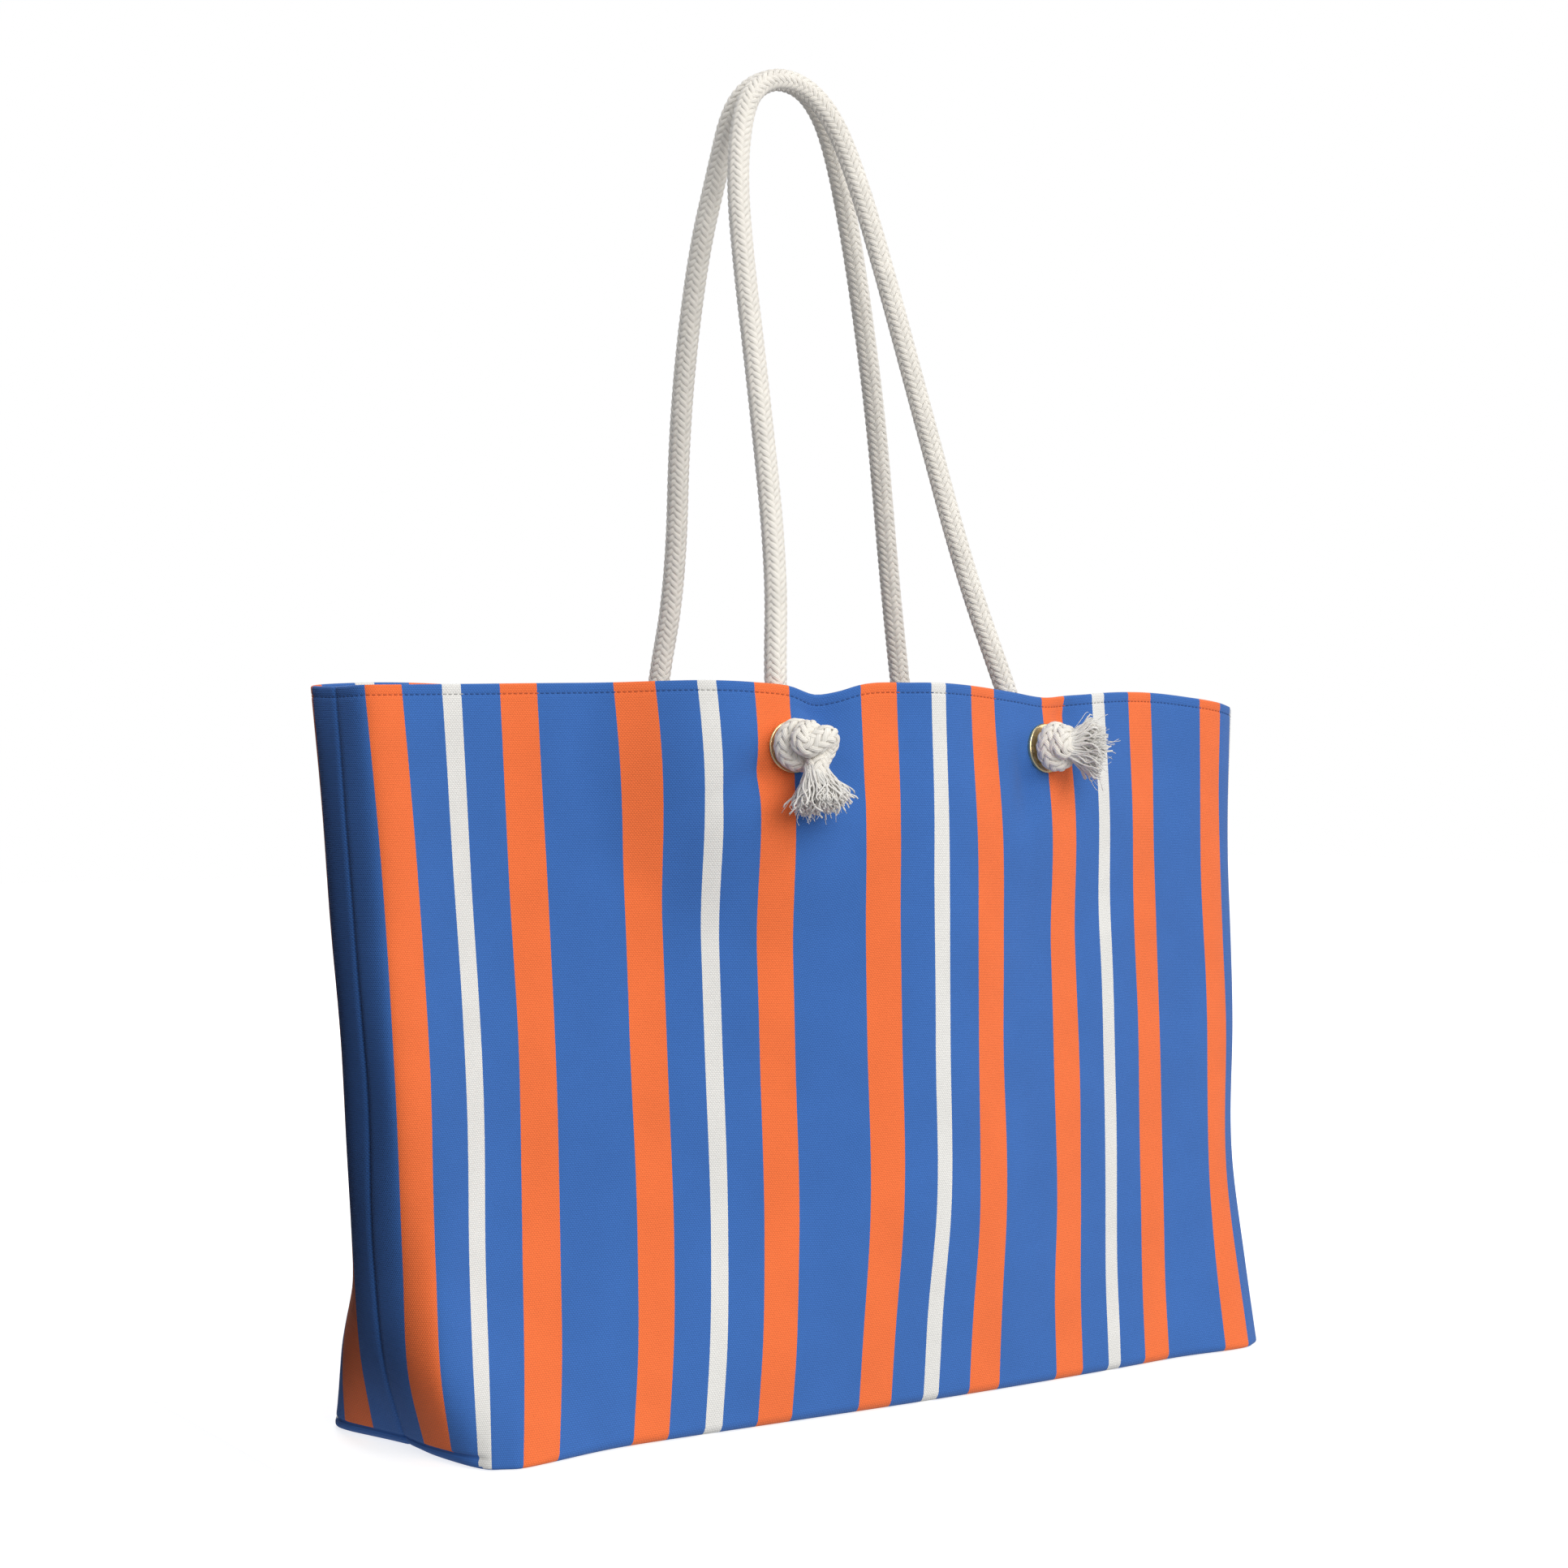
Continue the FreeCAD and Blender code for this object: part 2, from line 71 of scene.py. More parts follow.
def make_camera():
    """The view of the bag from its left front, at the height of the upper part of the canvas."""
    data = bpy.data.cameras.new("camera")
    data.sensor_width = 36.0
    data.lens = 61.5
    data.shift_y = -0.0083
    camera = put_object("camera", data)
    camera.location = (-0.7500, -1.1109, 0.3007)
    camera.rotation_euler = (math.radians(90), 0, math.radians(-32.7))
    bpy.context.scene.camera = camera


def area_light(name, place, target, size, power, colour=(1, 1, 1)):
    data = bpy.data.lights.new(name, "AREA")
    data.shape = "RECTANGLE"
    data.size, data.size_y = size
    data.energy = power
    data.color = colour
    lamp = put_object(name, data)
    lamp.location = place
    lamp.rotation_euler = (Vector(target) - Vector(place)).to_track_quat("-Z", "Y").to_euler()


def empty_tree(holder):
    """The nodes and links of a world or material, with nothing in them yet."""
    holder.use_nodes = True
    holder.node_tree.nodes.clear()
    return holder.node_tree.nodes, holder.node_tree.links


def make_world():
    """Pale, faintly blue surroundings that the camera sees as plain white."""
    world = bpy.data.worlds.new("studio")
    bpy.context.scene.world = world
    nodes, links = empty_tree(world)
    out = nodes.new("ShaderNodeOutputWorld")
    mix = nodes.new("ShaderNodeMixShader")
    path = nodes.new("ShaderNodeLightPath")
    links.new(path.outputs["Is Camera Ray"], mix.inputs["Fac"])
    for socket, colour, strength in ((1, (0.90, 0.93, 1.0, 1), 0.42), (2, (1, 1, 1, 1), 1.0)):
        background = nodes.new("ShaderNodeBackground")
        background.inputs["Color"].default_value = colour
        background.inputs["Strength"].default_value = strength
        links.new(background.outputs[0], mix.inputs[socket])
    links.new(mix.outputs[0], out.inputs["Surface"])


def make_floor():
    """A white floor that takes a faint shadow and glows a little more away from the bag."""
    reach = 6.0
    mesh = bpy.data.meshes.new("floor")
    corners = [(-reach, -reach, 0), (reach, -reach, 0), (reach, reach, 0), (-reach, reach, 0)]
    mesh.from_pydata(corners, [], [(0, 1, 2, 3)])
    floor = put_object("floor", mesh)
    floor.location.z = -0.0004
    material = bpy.data.materials.new("floor_white")
    nodes, links = empty_tree(material)
    cover = nodes.new("ShaderNodeBsdfDiffuse")
    cover.inputs["Color"].default_value = (0.5, 0.5, 0.5, 1)
    glow = nodes.new("ShaderNodeEmission")
    both = nodes.new("ShaderNodeAddShader")
    place = nodes.new("ShaderNodeTexCoord")
    distance = nodes.new("ShaderNodeVectorMath")
    distance.operation = "LENGTH"
    spread = nodes.new("ShaderNodeMapRange")
    for socket, number in (("From Min", 0.30), ("From Max", 0.75), ("To Min", 0.78), ("To Max", 1.0)):
        spread.inputs[socket].default_value = number
    out = nodes.new("ShaderNodeOutputMaterial")
    links.new(place.outputs["Object"], distance.inputs[0])
    links.new(distance.outputs["Value"], spread.inputs["Value"])
    links.new(spread.outputs["Result"], glow.inputs["Strength"])
    links.new(cover.outputs[0], both.inputs[0])
    links.new(glow.outputs[0], both.inputs[1])
    links.new(both.outputs[0], out.inputs["Surface"])
    mesh.materials.append(material)
    floor.visible_diffuse = False
    floor.visible_glossy = False


def make_card():
    """A black card beside the bag, unseen by the camera, that darkens the bag's left end."""
    x, near, far, top = -0.31, -0.14, 0.42, 0.35
    mesh = bpy.data.meshes.new("black_card")
    mesh.from_pydata([(x, near, 0), (x, far, 0), (x, far, top), (x, near, top)], [], [(0, 1, 2, 3)])
    black = bpy.data.materials.new("black_card")
    black.use_nodes = True
    shader = black.node_tree.nodes["Principled BSDF"]
    shader.inputs["Base Color"].default_value = (0.01, 0.012, 0.03, 1)
    shader.inputs["Roughness"].default_value = 1.0
    mesh.materials.append(black)
    card = put_object("black_card", mesh)
    card.visible_camera = False


def make_stage():
    """Surroundings, floor, black card and four soft lights."""
    bpy.context.scene.view_settings.view_transform = "Standard"
    make_world()
    make_floor()
    make_card()
    area_light("key", (-0.1, -2.6, 1.35), (0, 0, 0.25), (2.0, 2.0), 62, (1.0, 0.985, 0.96))
    area_light("side", (2.2, -1.2, 1.2), (0, 0, 0.25), (1.4, 1.4), 10)
    area_light("top", (-0.2, 0.3, 2.3), (0, 0, 0.3), (1.4, 1.4), 12)
    area_light("back", (0.5, 2.5, 1.4), (0, 0, 0.25), (1.6, 1.6), 26)


make_camera()
make_stage()


# ---------------------------------------------------------------- small helpers

def new_mesh(name, points, faces, corner_uvs=None, uv_name="fabric", smooth=True):
    """A mesh object from arrays, with one UV per face corner if given."""
    mesh = bpy.data.meshes.new(name)
    vertices = [tuple(map(float, point)) for point in points]
    mesh.from_pydata(vertices, [], [tuple(map(int, face)) for face in faces])
    if corner_uvs is not None:
        layer = mesh.uv_layers.new(name=uv_name)
        layer.data.foreach_set("uv", np.asarray(corner_uvs, np.float32).ravel())
    mesh.polygons.foreach_set("use_smooth", [smooth] * len(mesh.polygons))
    mesh.update()
    return put_object(name, mesh)


def smoothstep(value):
    value = np.clip(value, 0.0, 1.0)
    return value * value * (3 - 2 * value)


def hermite(knots, values, at, period=None):
    """A smooth curve through (knots, channels) values at uneven knots, closed if a period is given."""
    knots = np.asarray(knots, float)
    values = np.asarray(values, float)
    if period is None:
        slopes = np.gradient(values, knots, axis=0)
    else:
        knots = np.concatenate([knots[-2:] - period, knots, knots[:3] + period])
        values = np.concatenate([values[-2:], values, values[:3]])
        slopes = np.gradient(values, knots, axis=0)
    at = np.asarray(at, float)
    index = np.clip(np.searchsorted(knots, at, side="right") - 1, 0, len(knots) - 2)
    gap = (knots[index + 1] - knots[index])[:, None]
    share = ((at - knots[index])[:, None]) / gap
    start, end = values[index], values[index + 1]
    leave, arrive = slopes[index] * gap, slopes[index + 1] * gap
    cube, square = share ** 3, share ** 2
    return ((2 * cube - 3 * square + 1) * start + (cube - 2 * square + share) * leave
            + (3 * square - 2 * cube) * end + (cube - square) * arrive)


def straight(knots, values, at, period):
    """Straight runs through the same values."""
    knots = np.asarray(knots, float)
    values = np.asarray(values, float)
    return np.stack([np.interp(at, knots, values[:, channel], period=period)
                     for channel in range(values.shape[1])], axis=1)


# ---------------------------------------------------------------- the shape of the cloth shell

# Places round the bag, in stripe units from the left side seam. The front runs from 3.5 to 29 and the back
# from 36 to 61.5. The left gusset's front fold climbs from the corner at 3.5 to 1, so that most of the gusset
# lies flat with the front.
STATIONS = (0, 1, 2, 3.5, 7.5, 12, 16.25, 20.5, 25, 29, 32.5, 36, 40, 44.2, 48.75, 52.9, 57.5, 61.5, 63, 64)
# Plan outlines of the outer face at six levels, one (x, y) in millimetres for each station.
RINGS_MM = {
    0.0: [(-248, -18), (-247, -37), (-243, -56), (-235, -76), (-164, -74), (-81, -75), (-3, -76), (75, -74),
          (152, -69), (221, -61), (233, 2), (228, 64), (160, 78), (84, 84), (0, 86), (-78, 82), (-165, 68),
          (-257, 42), (-260, 22), (-254, 2)],
    0.12: [(-263, -28), (-260, -46), (-252, -62), (-228, -60), (-156, -64), (-76, -72), (1, -75), (78, -69),
           (157, -60), (224, -48), (239, 12), (232, 71), (162, 80), (85, 83), (1, 85), (-77, 81), (-164, 69),
           (-252, 31), (-268, 8), (-266, -10)],
    0.25: [(-265, -20), (-259, -38), (-247, -46), (-221, -43), (-149, -51), (-70, -65), (7, -73), (83, -64),
           (162, -52), (228, -35), (246, 22), (236, 78), (165, 82), (86, 82), (2, 84), (-77, 80), (-163, 66),
           (-237, 34), (-257, 13), (-267, -2)],
    0.5: [(-267, -16), (-261, -33), (-243, -32), (-216, -29), (-144, -36), (-66, -55), (11, -67), (87, -56),
          (168, -43), (237, -23), (251, 34), (238, 84), (165, 78), (87, 79), (4, 85), (-76, 79), (-160, 58),
          (-232, 40), (-258, 19), (-270, 2)],
    0.75: [(-267, 1), (-259, -16), (-241, -15), (-214, -14), (-142, -25), (-66, -51), (11, -66), (87, -53),
           (167, -39), (235, -22), (256, 34), (240, 80), (166, 75), (88, 79), (5, 85), (-76, 78), (-158, 62),
           (-231, 53), (-259, 35), (-270, 19)],
    1.0: [(-268, 16), (-261, -1), (-243, -2), (-215, -5), (-144, -18), (-68, -51), (9, -67), (84, -56),
          (165, -39), (233, -26), (262, 30), (235, 70), (166, 72), (84, 79), (4, 86), (-74, 79), (-160, 62),
          (-230, 58), (-262, 48), (-272, 33)],
}
# The height of the rim, in millimetres, at places round the bag.
RIM_STATIONS = (0, 1, 3.5, 7.5, 11, 12, 12.9, 13.4, 14, 15.5, 17.5, 19.3, 20.7, 21.9, 23.3, 25.3, 27, 29,
                32.5, 36, 42, 48.75, 55, 61.5, 64)
RIM_MM = (338, 338.5, 339.5, 341, 341, 339.8, 335.8, 337.4, 340.8, 342.2, 341.6, 339.4, 337, 338.4, 340.2,
          340.4, 338, 334.5, 333, 335, 337, 338, 338, 341.5, 338.5)
# Folds where the knots pull the cloth: corner, start and end as (right, up) from the grommet, depth and half
# width.
FOLDS_MM = (
    ("front_left", (-4, -2), (-46, -34), 4.6, 9),
    ("front_left", (9, 4), (24, 30), 6.0, 10),
    ("front_left", (12, -4), (34, -26), 3.0, 12),
    ("front_right", (-9, 6), (-17, -42), 4.2, 8),
    ("front_right", (10, 6), (26, 28), 4.2, 9),
    ("back_left", (-6, -4), (-40, -30), 3.6, 10),
    ("back_right", (8, -4), (40, -34), 3.6, 10),
)

# Creases: where they are, and how sharp they are at each of the six levels.
CREASES = ((0.0, (0.0, 0.1, 0.25, 0.6, 0.9, 1.0)), (1.0, (0.0, 0.2, 0.9, 1.0, 1.0, 1.0)),
           (2.0, (0.0, 0.9, 0.6, 0.2, 0.0, 0.0)), (3.5, (1.0, 0.5, 0.0, 0.0, 0.0, 0.0)),
           (29.0, (1.0, 0.9, 0.8, 0.5, 0.4, 0.4)), (32.5, (0.0, 0.1, 0.2, 0.5, 0.8, 1.0)),
           (36.0, (1.0, 0.9, 0.8, 0.4, 0.1, 0.0)), (61.5, (1.0, 0.9, 0.8, 0.4, 0.1, 0.0)))
CREASE_REACH = 0.9
BEND_RADIUS_MM = 5.0             # of the lower edge, where the front and back turn under
CORNER_BEND_MM = 2.0
CANVAS_MM = 1.0
FACING_MM = 45.0
HEM_THICKNESS_MM = 2.0
FOOT_SEAM_MM = 4.8              # height of the seam where the bottom cloth turns up onto each gusset
LINING_DEPTH_MM = 1.9            # from the outer face of the canvas to the lining
LINING_MM = 0.5
LINING_FLOOR_MM = 1.7
POCKET_MM = (150.0, 120.0, 160.0)  # width, height, and height of its lower edge above the ground
STITCH_DROP_MM = 3.8
STITCH_PITCH_MM = 2.6
STITCH_LENGTH_MM = 1.7


def grommet_place(corner):
    """Centre on the cloth's outer face, outward direction, and the two directions in the face."""
    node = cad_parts["grommet_" + corner]
    points = np.array([vertex.co for vertex in node.data.vertices], float)
    centre = (points.min(0) + points.max(0)) / 2
    spread = np.linalg.eigh(np.cov((points - points.mean(0)).T))[1]
    outward = spread[:, 0] * np.sign(spread[1, 0]) * (-1 if corner.startswith("front") else 1)
    along = (points - centre) @ outward
    flange = 1.7 * MM
    centre = centre + outward * (along.max() - flange)
    side = np.cross((0, 0, 1), outward)
    side = side / np.linalg.norm(side) * (-1 if corner.startswith("back") else 1)
    up = np.cross(outward, side)
    up = up * np.sign(up[2])
    return centre, outward, side, up


GROMMETS = {corner: grommet_place(corner) for corner in CORNERS}


def round_gap(places, station):
    """The shorter way round the bag from each place to a station, in stripe units."""
    return np.abs((places - station + RIGHT_SEAM) % ROUND_UNITS - RIGHT_SEAM)


def crease_weight(places, level):
    weight = np.zeros(len(places))
    for station, strengths in CREASES:
        strength = strengths[level]
        distance = round_gap(places, station)
        weight = np.maximum(weight, strength * (1 - smoothstep(distance / CREASE_REACH)))
    return weight[:, None]


def plan_outlines(places):
    """The outer face's plan at each level, as (levels, places, 2) in millimetres."""
    rings = []
    for level, ring in enumerate(RINGS_MM.values()):
        soft = hermite(STATIONS, ring, places, ROUND_UNITS)
        sharp = straight(STATIONS, ring, places, ROUND_UNITS)
        mix = crease_weight(places, level)
        rings.append(soft * (1 - mix) + sharp * mix)
    return np.array(rings)


def normals_of(points, wrap=True):
    """Unit normals of a grid of points (round, up, 3), pointing out of the bag."""
    if wrap:
        round_way = np.roll(points, -1, axis=0) - np.roll(points, 1, axis=0)
    else:
        round_way = np.gradient(points, axis=0)
    up_way = np.gradient(points, axis=1)
    normal = np.cross(round_way, up_way)
    return normal / np.maximum(np.linalg.norm(normal, axis=2, keepdims=True), 1e-12)


def relaxed(points, times):
    """Rounds the creases by a few millimetres."""
    for _ in range(times):
        points = 0.5 * points + 0.25 * (np.roll(points, 1, axis=0) + np.roll(points, -1, axis=0))
    return points


def ripples(places, heights):
    """Low, uneven swells of the cloth, in metres along the normal. Heights are shares of the full height."""
    around, share = np.meshgrid(places / ROUND_UNITS * math.tau, heights, indexing="ij")
    rise = share * math.tau
    swell = (0.8 * np.sin(7 * around + 1.1 * rise + 0.4) * np.sin(0.8 * rise + 0.9)
             + 0.6 * np.sin(11 * around - 1.6 * rise + 2.0)
             + 0.35 * np.sin(17 * around + 2.3 * rise + 1.0) * np.sin(1.7 * rise)
             + 0.25 * np.sin(29 * around - 3.1 * rise))
    ends = smoothstep(share / 0.12) * (0.55 + 0.45 * smoothstep((1 - share) / 0.15))
    return swell * ends * 0.5 * MM


def conform_to_grommets(points):
    """Draws the cloth into each grommet's plane, with a soft dent round it."""
    flat, reach = 15 * MM, 100 * MM
    for centre, outward, _, _ in GROMMETS.values():
        offset = points - centre
        height = offset @ outward
        distance = np.linalg.norm(offset - height[..., None] * outward, axis=-1)
        near = np.abs(height) < 40 * MM
        weight = 1 - smoothstep((distance - flat) / (reach - flat))
        pulled = weight * near * height
        points = points - pulled[..., None] * outward
    return points


def knot_folds(points):
    """How far inward the folds beside the knots press each point, in metres."""
    press = np.zeros(points.shape[:2])
    for corner, start, end, depth, width in FOLDS_MM:
        centre, outward, side, up = GROMMETS[corner]
        offset = (points - centre) / MM
        flat = np.stack([offset @ side, offset @ up], axis=-1)
        run = np.subtract(end, start)
        share = np.clip(((flat - start) @ run) / (run @ run), 0, 1.2)
        distance = np.linalg.norm(flat - start - share[..., None] * run, axis=-1)
        near = np.abs(offset @ outward) < 40
        fade = smoothstep(share / 0.25 + 0.2) * (1 - smoothstep((share - 0.35) / 0.8))
        ring = smoothstep((np.linalg.norm(flat, axis=-1) - 12.5) / 8)
        press = press + depth * MM * np.exp(-(distance / width) ** 2) * fade * near * ring
    return press


def shell_surface(places, heights):
    """The outer face of the wall, as (places, heights, 3). Heights are shares of the rim's height."""
    levels = list(RINGS_MM)
    outlines = plan_outlines(places)
    flat = outlines.reshape(len(levels), -1)
    plan = hermite(levels, flat, heights).reshape(len(heights), len(places), 2).transpose(1, 0, 2)
    plan = relaxed(plan, 3)
    rim = hermite(RIM_STATIONS, np.array(RIM_MM, float)[:, None], places, ROUND_UNITS)[:, 0]
    rise = heights[None, :] * rim[:, None]
    points = np.concatenate([plan, rise[..., None]], axis=2) * MM
    normal = normals_of(points)
    level_normal = normal.copy()
    level_normal[..., 2] = 0
    level_normal /= np.linalg.norm(level_normal, axis=2, keepdims=True)

    corner_gap = np.min([round_gap(places, corner) for corner in BOTTOM_CORNERS], axis=0)
    bend = (CORNER_BEND_MM + (BEND_RADIUS_MM - CORNER_BEND_MM) * smoothstep(corner_gap / 3.0)) * MM
    low = np.clip(1 - points[..., 2] / bend[:, None], 0, 1)
    inset = bend[:, None] * (1 - np.sqrt(np.maximum(1 - low ** 2, 0)))
    points = points - level_normal * inset[..., None]

    points = points + normal * ripples(places, heights)[..., None]
    points = conform_to_grommets(points)
    return points - normals_of(points) * knot_folds(points)[..., None]


def shell_places():
    """Columns round the bag, closer together at the two side seams."""
    even = np.arange(0, ROUND_UNITS, 1 / 6)
    seam_steps = (-0.07, -0.035, 0.035, 0.07)
    extra = [(seam + step) % ROUND_UNITS for seam in (0, RIGHT_SEAM) for step in seam_steps]
    return np.array(sorted(list(even) + extra))


def shell_heights():
    """Rows up the wall as shares of its height, closer together at the foot and at the rim."""
    foot = np.array([0, 0.6, 1.4, 2.4, 3.4, 4.2, 4.8, 5.4, 6.2, 7.4, 9]) / BAG_HEIGHT_MM
    middle = np.arange(12, 328, 3.0) / BAG_HEIGHT_MM
    top = 1 - np.array([9, 7.5, 6, 5, 4.4, 3.8, 3.2, 2.4, 1.4, 0.6, 0]) / BAG_HEIGHT_MM
    return np.concatenate([foot, middle, top])


PLACES = shell_places()
HEIGHTS = shell_heights()
HEIGHTS_MM = HEIGHTS * BAG_HEIGHT_MM
OUTER = shell_surface(PLACES, HEIGHTS)
NORMALS = normals_of(OUTER)


def seam_grooves(points, normals):
    """Presses in the stitch line, the side seams, and the boxed seam at the foot of each gusset."""
    below_rim = (1 - HEIGHTS) * BAG_HEIGHT_MM
    stitch = 0.35 * np.exp(-((below_rim - STITCH_DROP_MM) / 0.7) ** 2)[None, :]
    seam_gap = np.minimum(round_gap(PLACES, 0), np.abs(PLACES - RIGHT_SEAM)) * STRIPE_MM
    side = 0.9 * np.exp(-(seam_gap / 0.8) ** 2)[:, None]
    gusset = 1 - smoothstep((seam_gap - 56) / 8)
    foot = 1.5 * np.exp(-((HEIGHTS_MM - FOOT_SEAM_MM) / 0.8) ** 2)[None, :] * gusset[:, None]
    return points - normals * ((stitch + side + foot) * MM)[..., None]


OUTER = seam_grooves(OUTER, NORMALS)


def bottom_stripe_place(x_mm):
    """The stripe coordinate under the bag, where the stripes run from the front edge to the back edge."""
    front = (PLACES >= BOTTOM_CORNERS[0]) & (PLACES <= BOTTOM_CORNERS[1])
    return np.interp(x_mm, OUTER[front, 0, 0] / MM, PLACES[front])


def make_shell():
    """Canvas walls, turned-in hem and bottom as one closed cloth, with the grommet holes cut through."""
    columns = len(PLACES)
    below_rim = (1 - HEIGHTS) * BAG_HEIGHT_MM
    depth = np.where(below_rim < FACING_MM, HEM_THICKNESS_MM, CANVAS_MM) * MM
    inner = OUTER - NORMALS * depth[None, :, None]
    inner[..., 2] = np.maximum(inner[..., 2], CANVAS_MM * MM)
    centre = (OUTER[:, -1] + inner[:, -1]) / 2
    half = (OUTER[:, -1] - inner[:, -1]) / 2
    lift = np.array([0, 0, HEM_THICKNESS_MM / 2 * MM])
    fold = [centre + half * math.cos(angle) + lift * math.sin(angle) for angle in (math.pi / 4, math.pi / 2,
                                                                                   3 * math.pi / 4)]
    grid = np.concatenate([OUTER, np.stack(fold, axis=1), inner[:, ::-1]], axis=1)
    total = grid.shape[1]
    over_rim = BAG_HEIGHT_MM + np.array([0.8, 1.6, 2.4])
    run = np.concatenate([HEIGHTS_MM, over_rim, 2 * BAG_HEIGHT_MM + 3.2 - HEIGHTS_MM[::-1]])

    holes = np.zeros((columns, total), bool)
    for place, outward, _, _ in GROMMETS.values():
        offset = grid - place
        along = offset @ outward
        across = offset - along[..., None] * outward
        distance = np.linalg.norm(across, axis=2)
        close = (np.abs(along) < 6 * MM) & (distance < 7.6 * MM)
        near = (np.abs(along) < 6 * MM) & (distance < 12 * MM)
        holes |= close
        ring = near & ~close
        neighbour = np.zeros_like(close)
        for shift_a in (-1, 0, 1):
            for shift_b in (-1, 0, 1):
                neighbour |= np.roll(np.roll(close, shift_a, axis=0), shift_b, axis=1)
        rim_points = ring & neighbour
        grid[rim_points] += across[rim_points] * (8.6 * MM / distance[rim_points] - 1)[:, None]

    faces, uvs = [], []
    for column in range(columns):
        following = (column + 1) % columns
        left = PLACES[column]
        right = PLACES[following] if following else ROUND_UNITS
        for row in range(total - 1):
            corners = ((column, row), (following, row), (following, row + 1), (column, row + 1))
            if any(holes[corner] for corner in corners):
                continue
            faces.append([a * total + b for a, b in corners])
            from_seam = min(abs(gap) for gap in (left, left - RIGHT_SEAM, left - ROUND_UNITS))
            turned_up = run[row] < (FOOT_SEAM_MM - 0.1) * (1 - smoothstep((from_seam - 1.8) / 1.6))
            for place, at in ((left, row), (right, row), (right, row + 1), (left, row + 1)):
                shown = 0.5 if turned_up else place
                uvs.append((shown * STRIPE_MM * MM, run[at] * MM))
    points = grid.reshape(-1, 3)
    bottom = [column * total for column in range(columns)]
    faces.append(bottom[::-1])
    floor_uvs = [(bottom_stripe_place(points[index, 0] / MM) * STRIPE_MM * MM, points[index, 1])
                 for index in bottom]
    uvs.extend(floor_uvs[::-1])
    inside = [column * total + total - 1 for column in range(columns)]
    faces.append(inside)
    uvs.extend([(0.01, 0.0)] * columns)
    used = np.zeros(len(points), bool)
    for face in faces:
        used[face] = True
    renumber = np.cumsum(used) - 1
    faces = [[renumber[index] for index in face] for face in faces]
    return new_mesh("canvas_shell", points[used], faces, uvs)


# ---------------------------------------------------------------- materials

BLUE = (0.047, 0.162, 0.50)
ORANGE = (1.0, 0.195, 0.052)
WHITE = (0.86, 0.845, 0.80)


class Graph:
    """Adds nodes to a material with short calls."""

    def __init__(self, name):
        self.material = bpy.data.materials.new(name)
        self.material.use_nodes = True
        self.nodes = self.material.node_tree.nodes
        self.links = self.material.node_tree.links
        self.shader = self.nodes["Principled BSDF"]

    def put(self, socket, value):
        if isinstance(value, bpy.types.NodeSocket):
            self.links.new(value, socket)
        else:
            socket.default_value = value

    def math(self, operation, first, second=0.0):
        node = self.nodes.new("ShaderNodeMath")
        node.operation = operation
        self.put(node.inputs[0], first)
        self.put(node.inputs[1], second)
        return node.outputs[0]

    def noise(self, vector, scale, detail=2.0, roughness=0.5):
        node = self.nodes.new("ShaderNodeTexNoise")
        self.links.new(vector, node.inputs["Vector"])
        node.inputs["Scale"].default_value = scale
        node.inputs["Detail"].default_value = detail
        node.inputs["Roughness"].default_value = roughness
        return node.outputs["Fac"]

    def place(self):
        node = self.nodes.new("ShaderNodeTexCoord")
        return node.outputs["Object"]

    def uv(self, name="fabric"):
        node = self.nodes.new("ShaderNodeUVMap")
        node.uv_map = name
        split = self.nodes.new("ShaderNodeSeparateXYZ")
        self.links.new(node.outputs["UV"], split.inputs[0])
        return split.outputs["X"], split.outputs["Y"]

    def steps(self, value, stops):
        node = self.nodes.new("ShaderNodeValToRGB")
        ramp = node.color_ramp
        ramp.interpolation = "CONSTANT"
        while len(ramp.elements) < len(stops):
            ramp.elements.new(1.0)
        for element, (position, colour) in zip(ramp.elements, stops):
            element.position = position
            element.color = (*colour, 1)
        self.links.new(value, node.inputs["Fac"])
        return node.outputs["Color"]

    def spread(self, value, low, high, new_low, new_high):
        node = self.nodes.new("ShaderNodeMapRange")
        self.links.new(value, node.inputs["Value"])
        limits = (("From Min", low), ("From Max", high), ("To Min", new_low), ("To Max", new_high))
        for socket, number in limits:
            node.inputs[socket].default_value = number
        return node.outputs["Result"]

    def scaled(self, colour, factor):
        node = self.nodes.new("ShaderNodeVectorMath")
        node.operation = "SCALE"
        self.put(node.inputs[0], colour)
        self.links.new(factor, node.inputs["Scale"])
        return node.outputs["Vector"]

    def bump(self, height, strength, distance):
        node = self.nodes.new("ShaderNodeBump")
        node.inputs["Strength"].default_value = strength
        node.inputs["Distance"].default_value = distance
        self.links.new(height, node.inputs["Height"])
        self.links.new(node.outputs["Normal"], self.shader.inputs["Normal"])


def weave_height(graph, across, up, thread, rib):
    """Rows of ribs made of staggered thread floats, from 0 in the gaps to 1 on the floats."""
    row = graph.math("DIVIDE", up, rib)
    odd = graph.math("MULTIPLY", graph.math("MODULO", graph.math("FLOOR", row), 2.0), 0.5)
    along = graph.math("FRACT", graph.math("ADD", graph.math("DIVIDE", across, thread), odd))
    float_shape = graph.math("SINE", graph.math("MULTIPLY", along, math.pi))
    rib_shape = graph.math("SINE", graph.math("MULTIPLY", graph.math("FRACT", row), math.pi))
    return graph.math("MULTIPLY", graph.math("POWER", float_shape, 0.7), graph.math("POWER", rib_shape, 0.8))


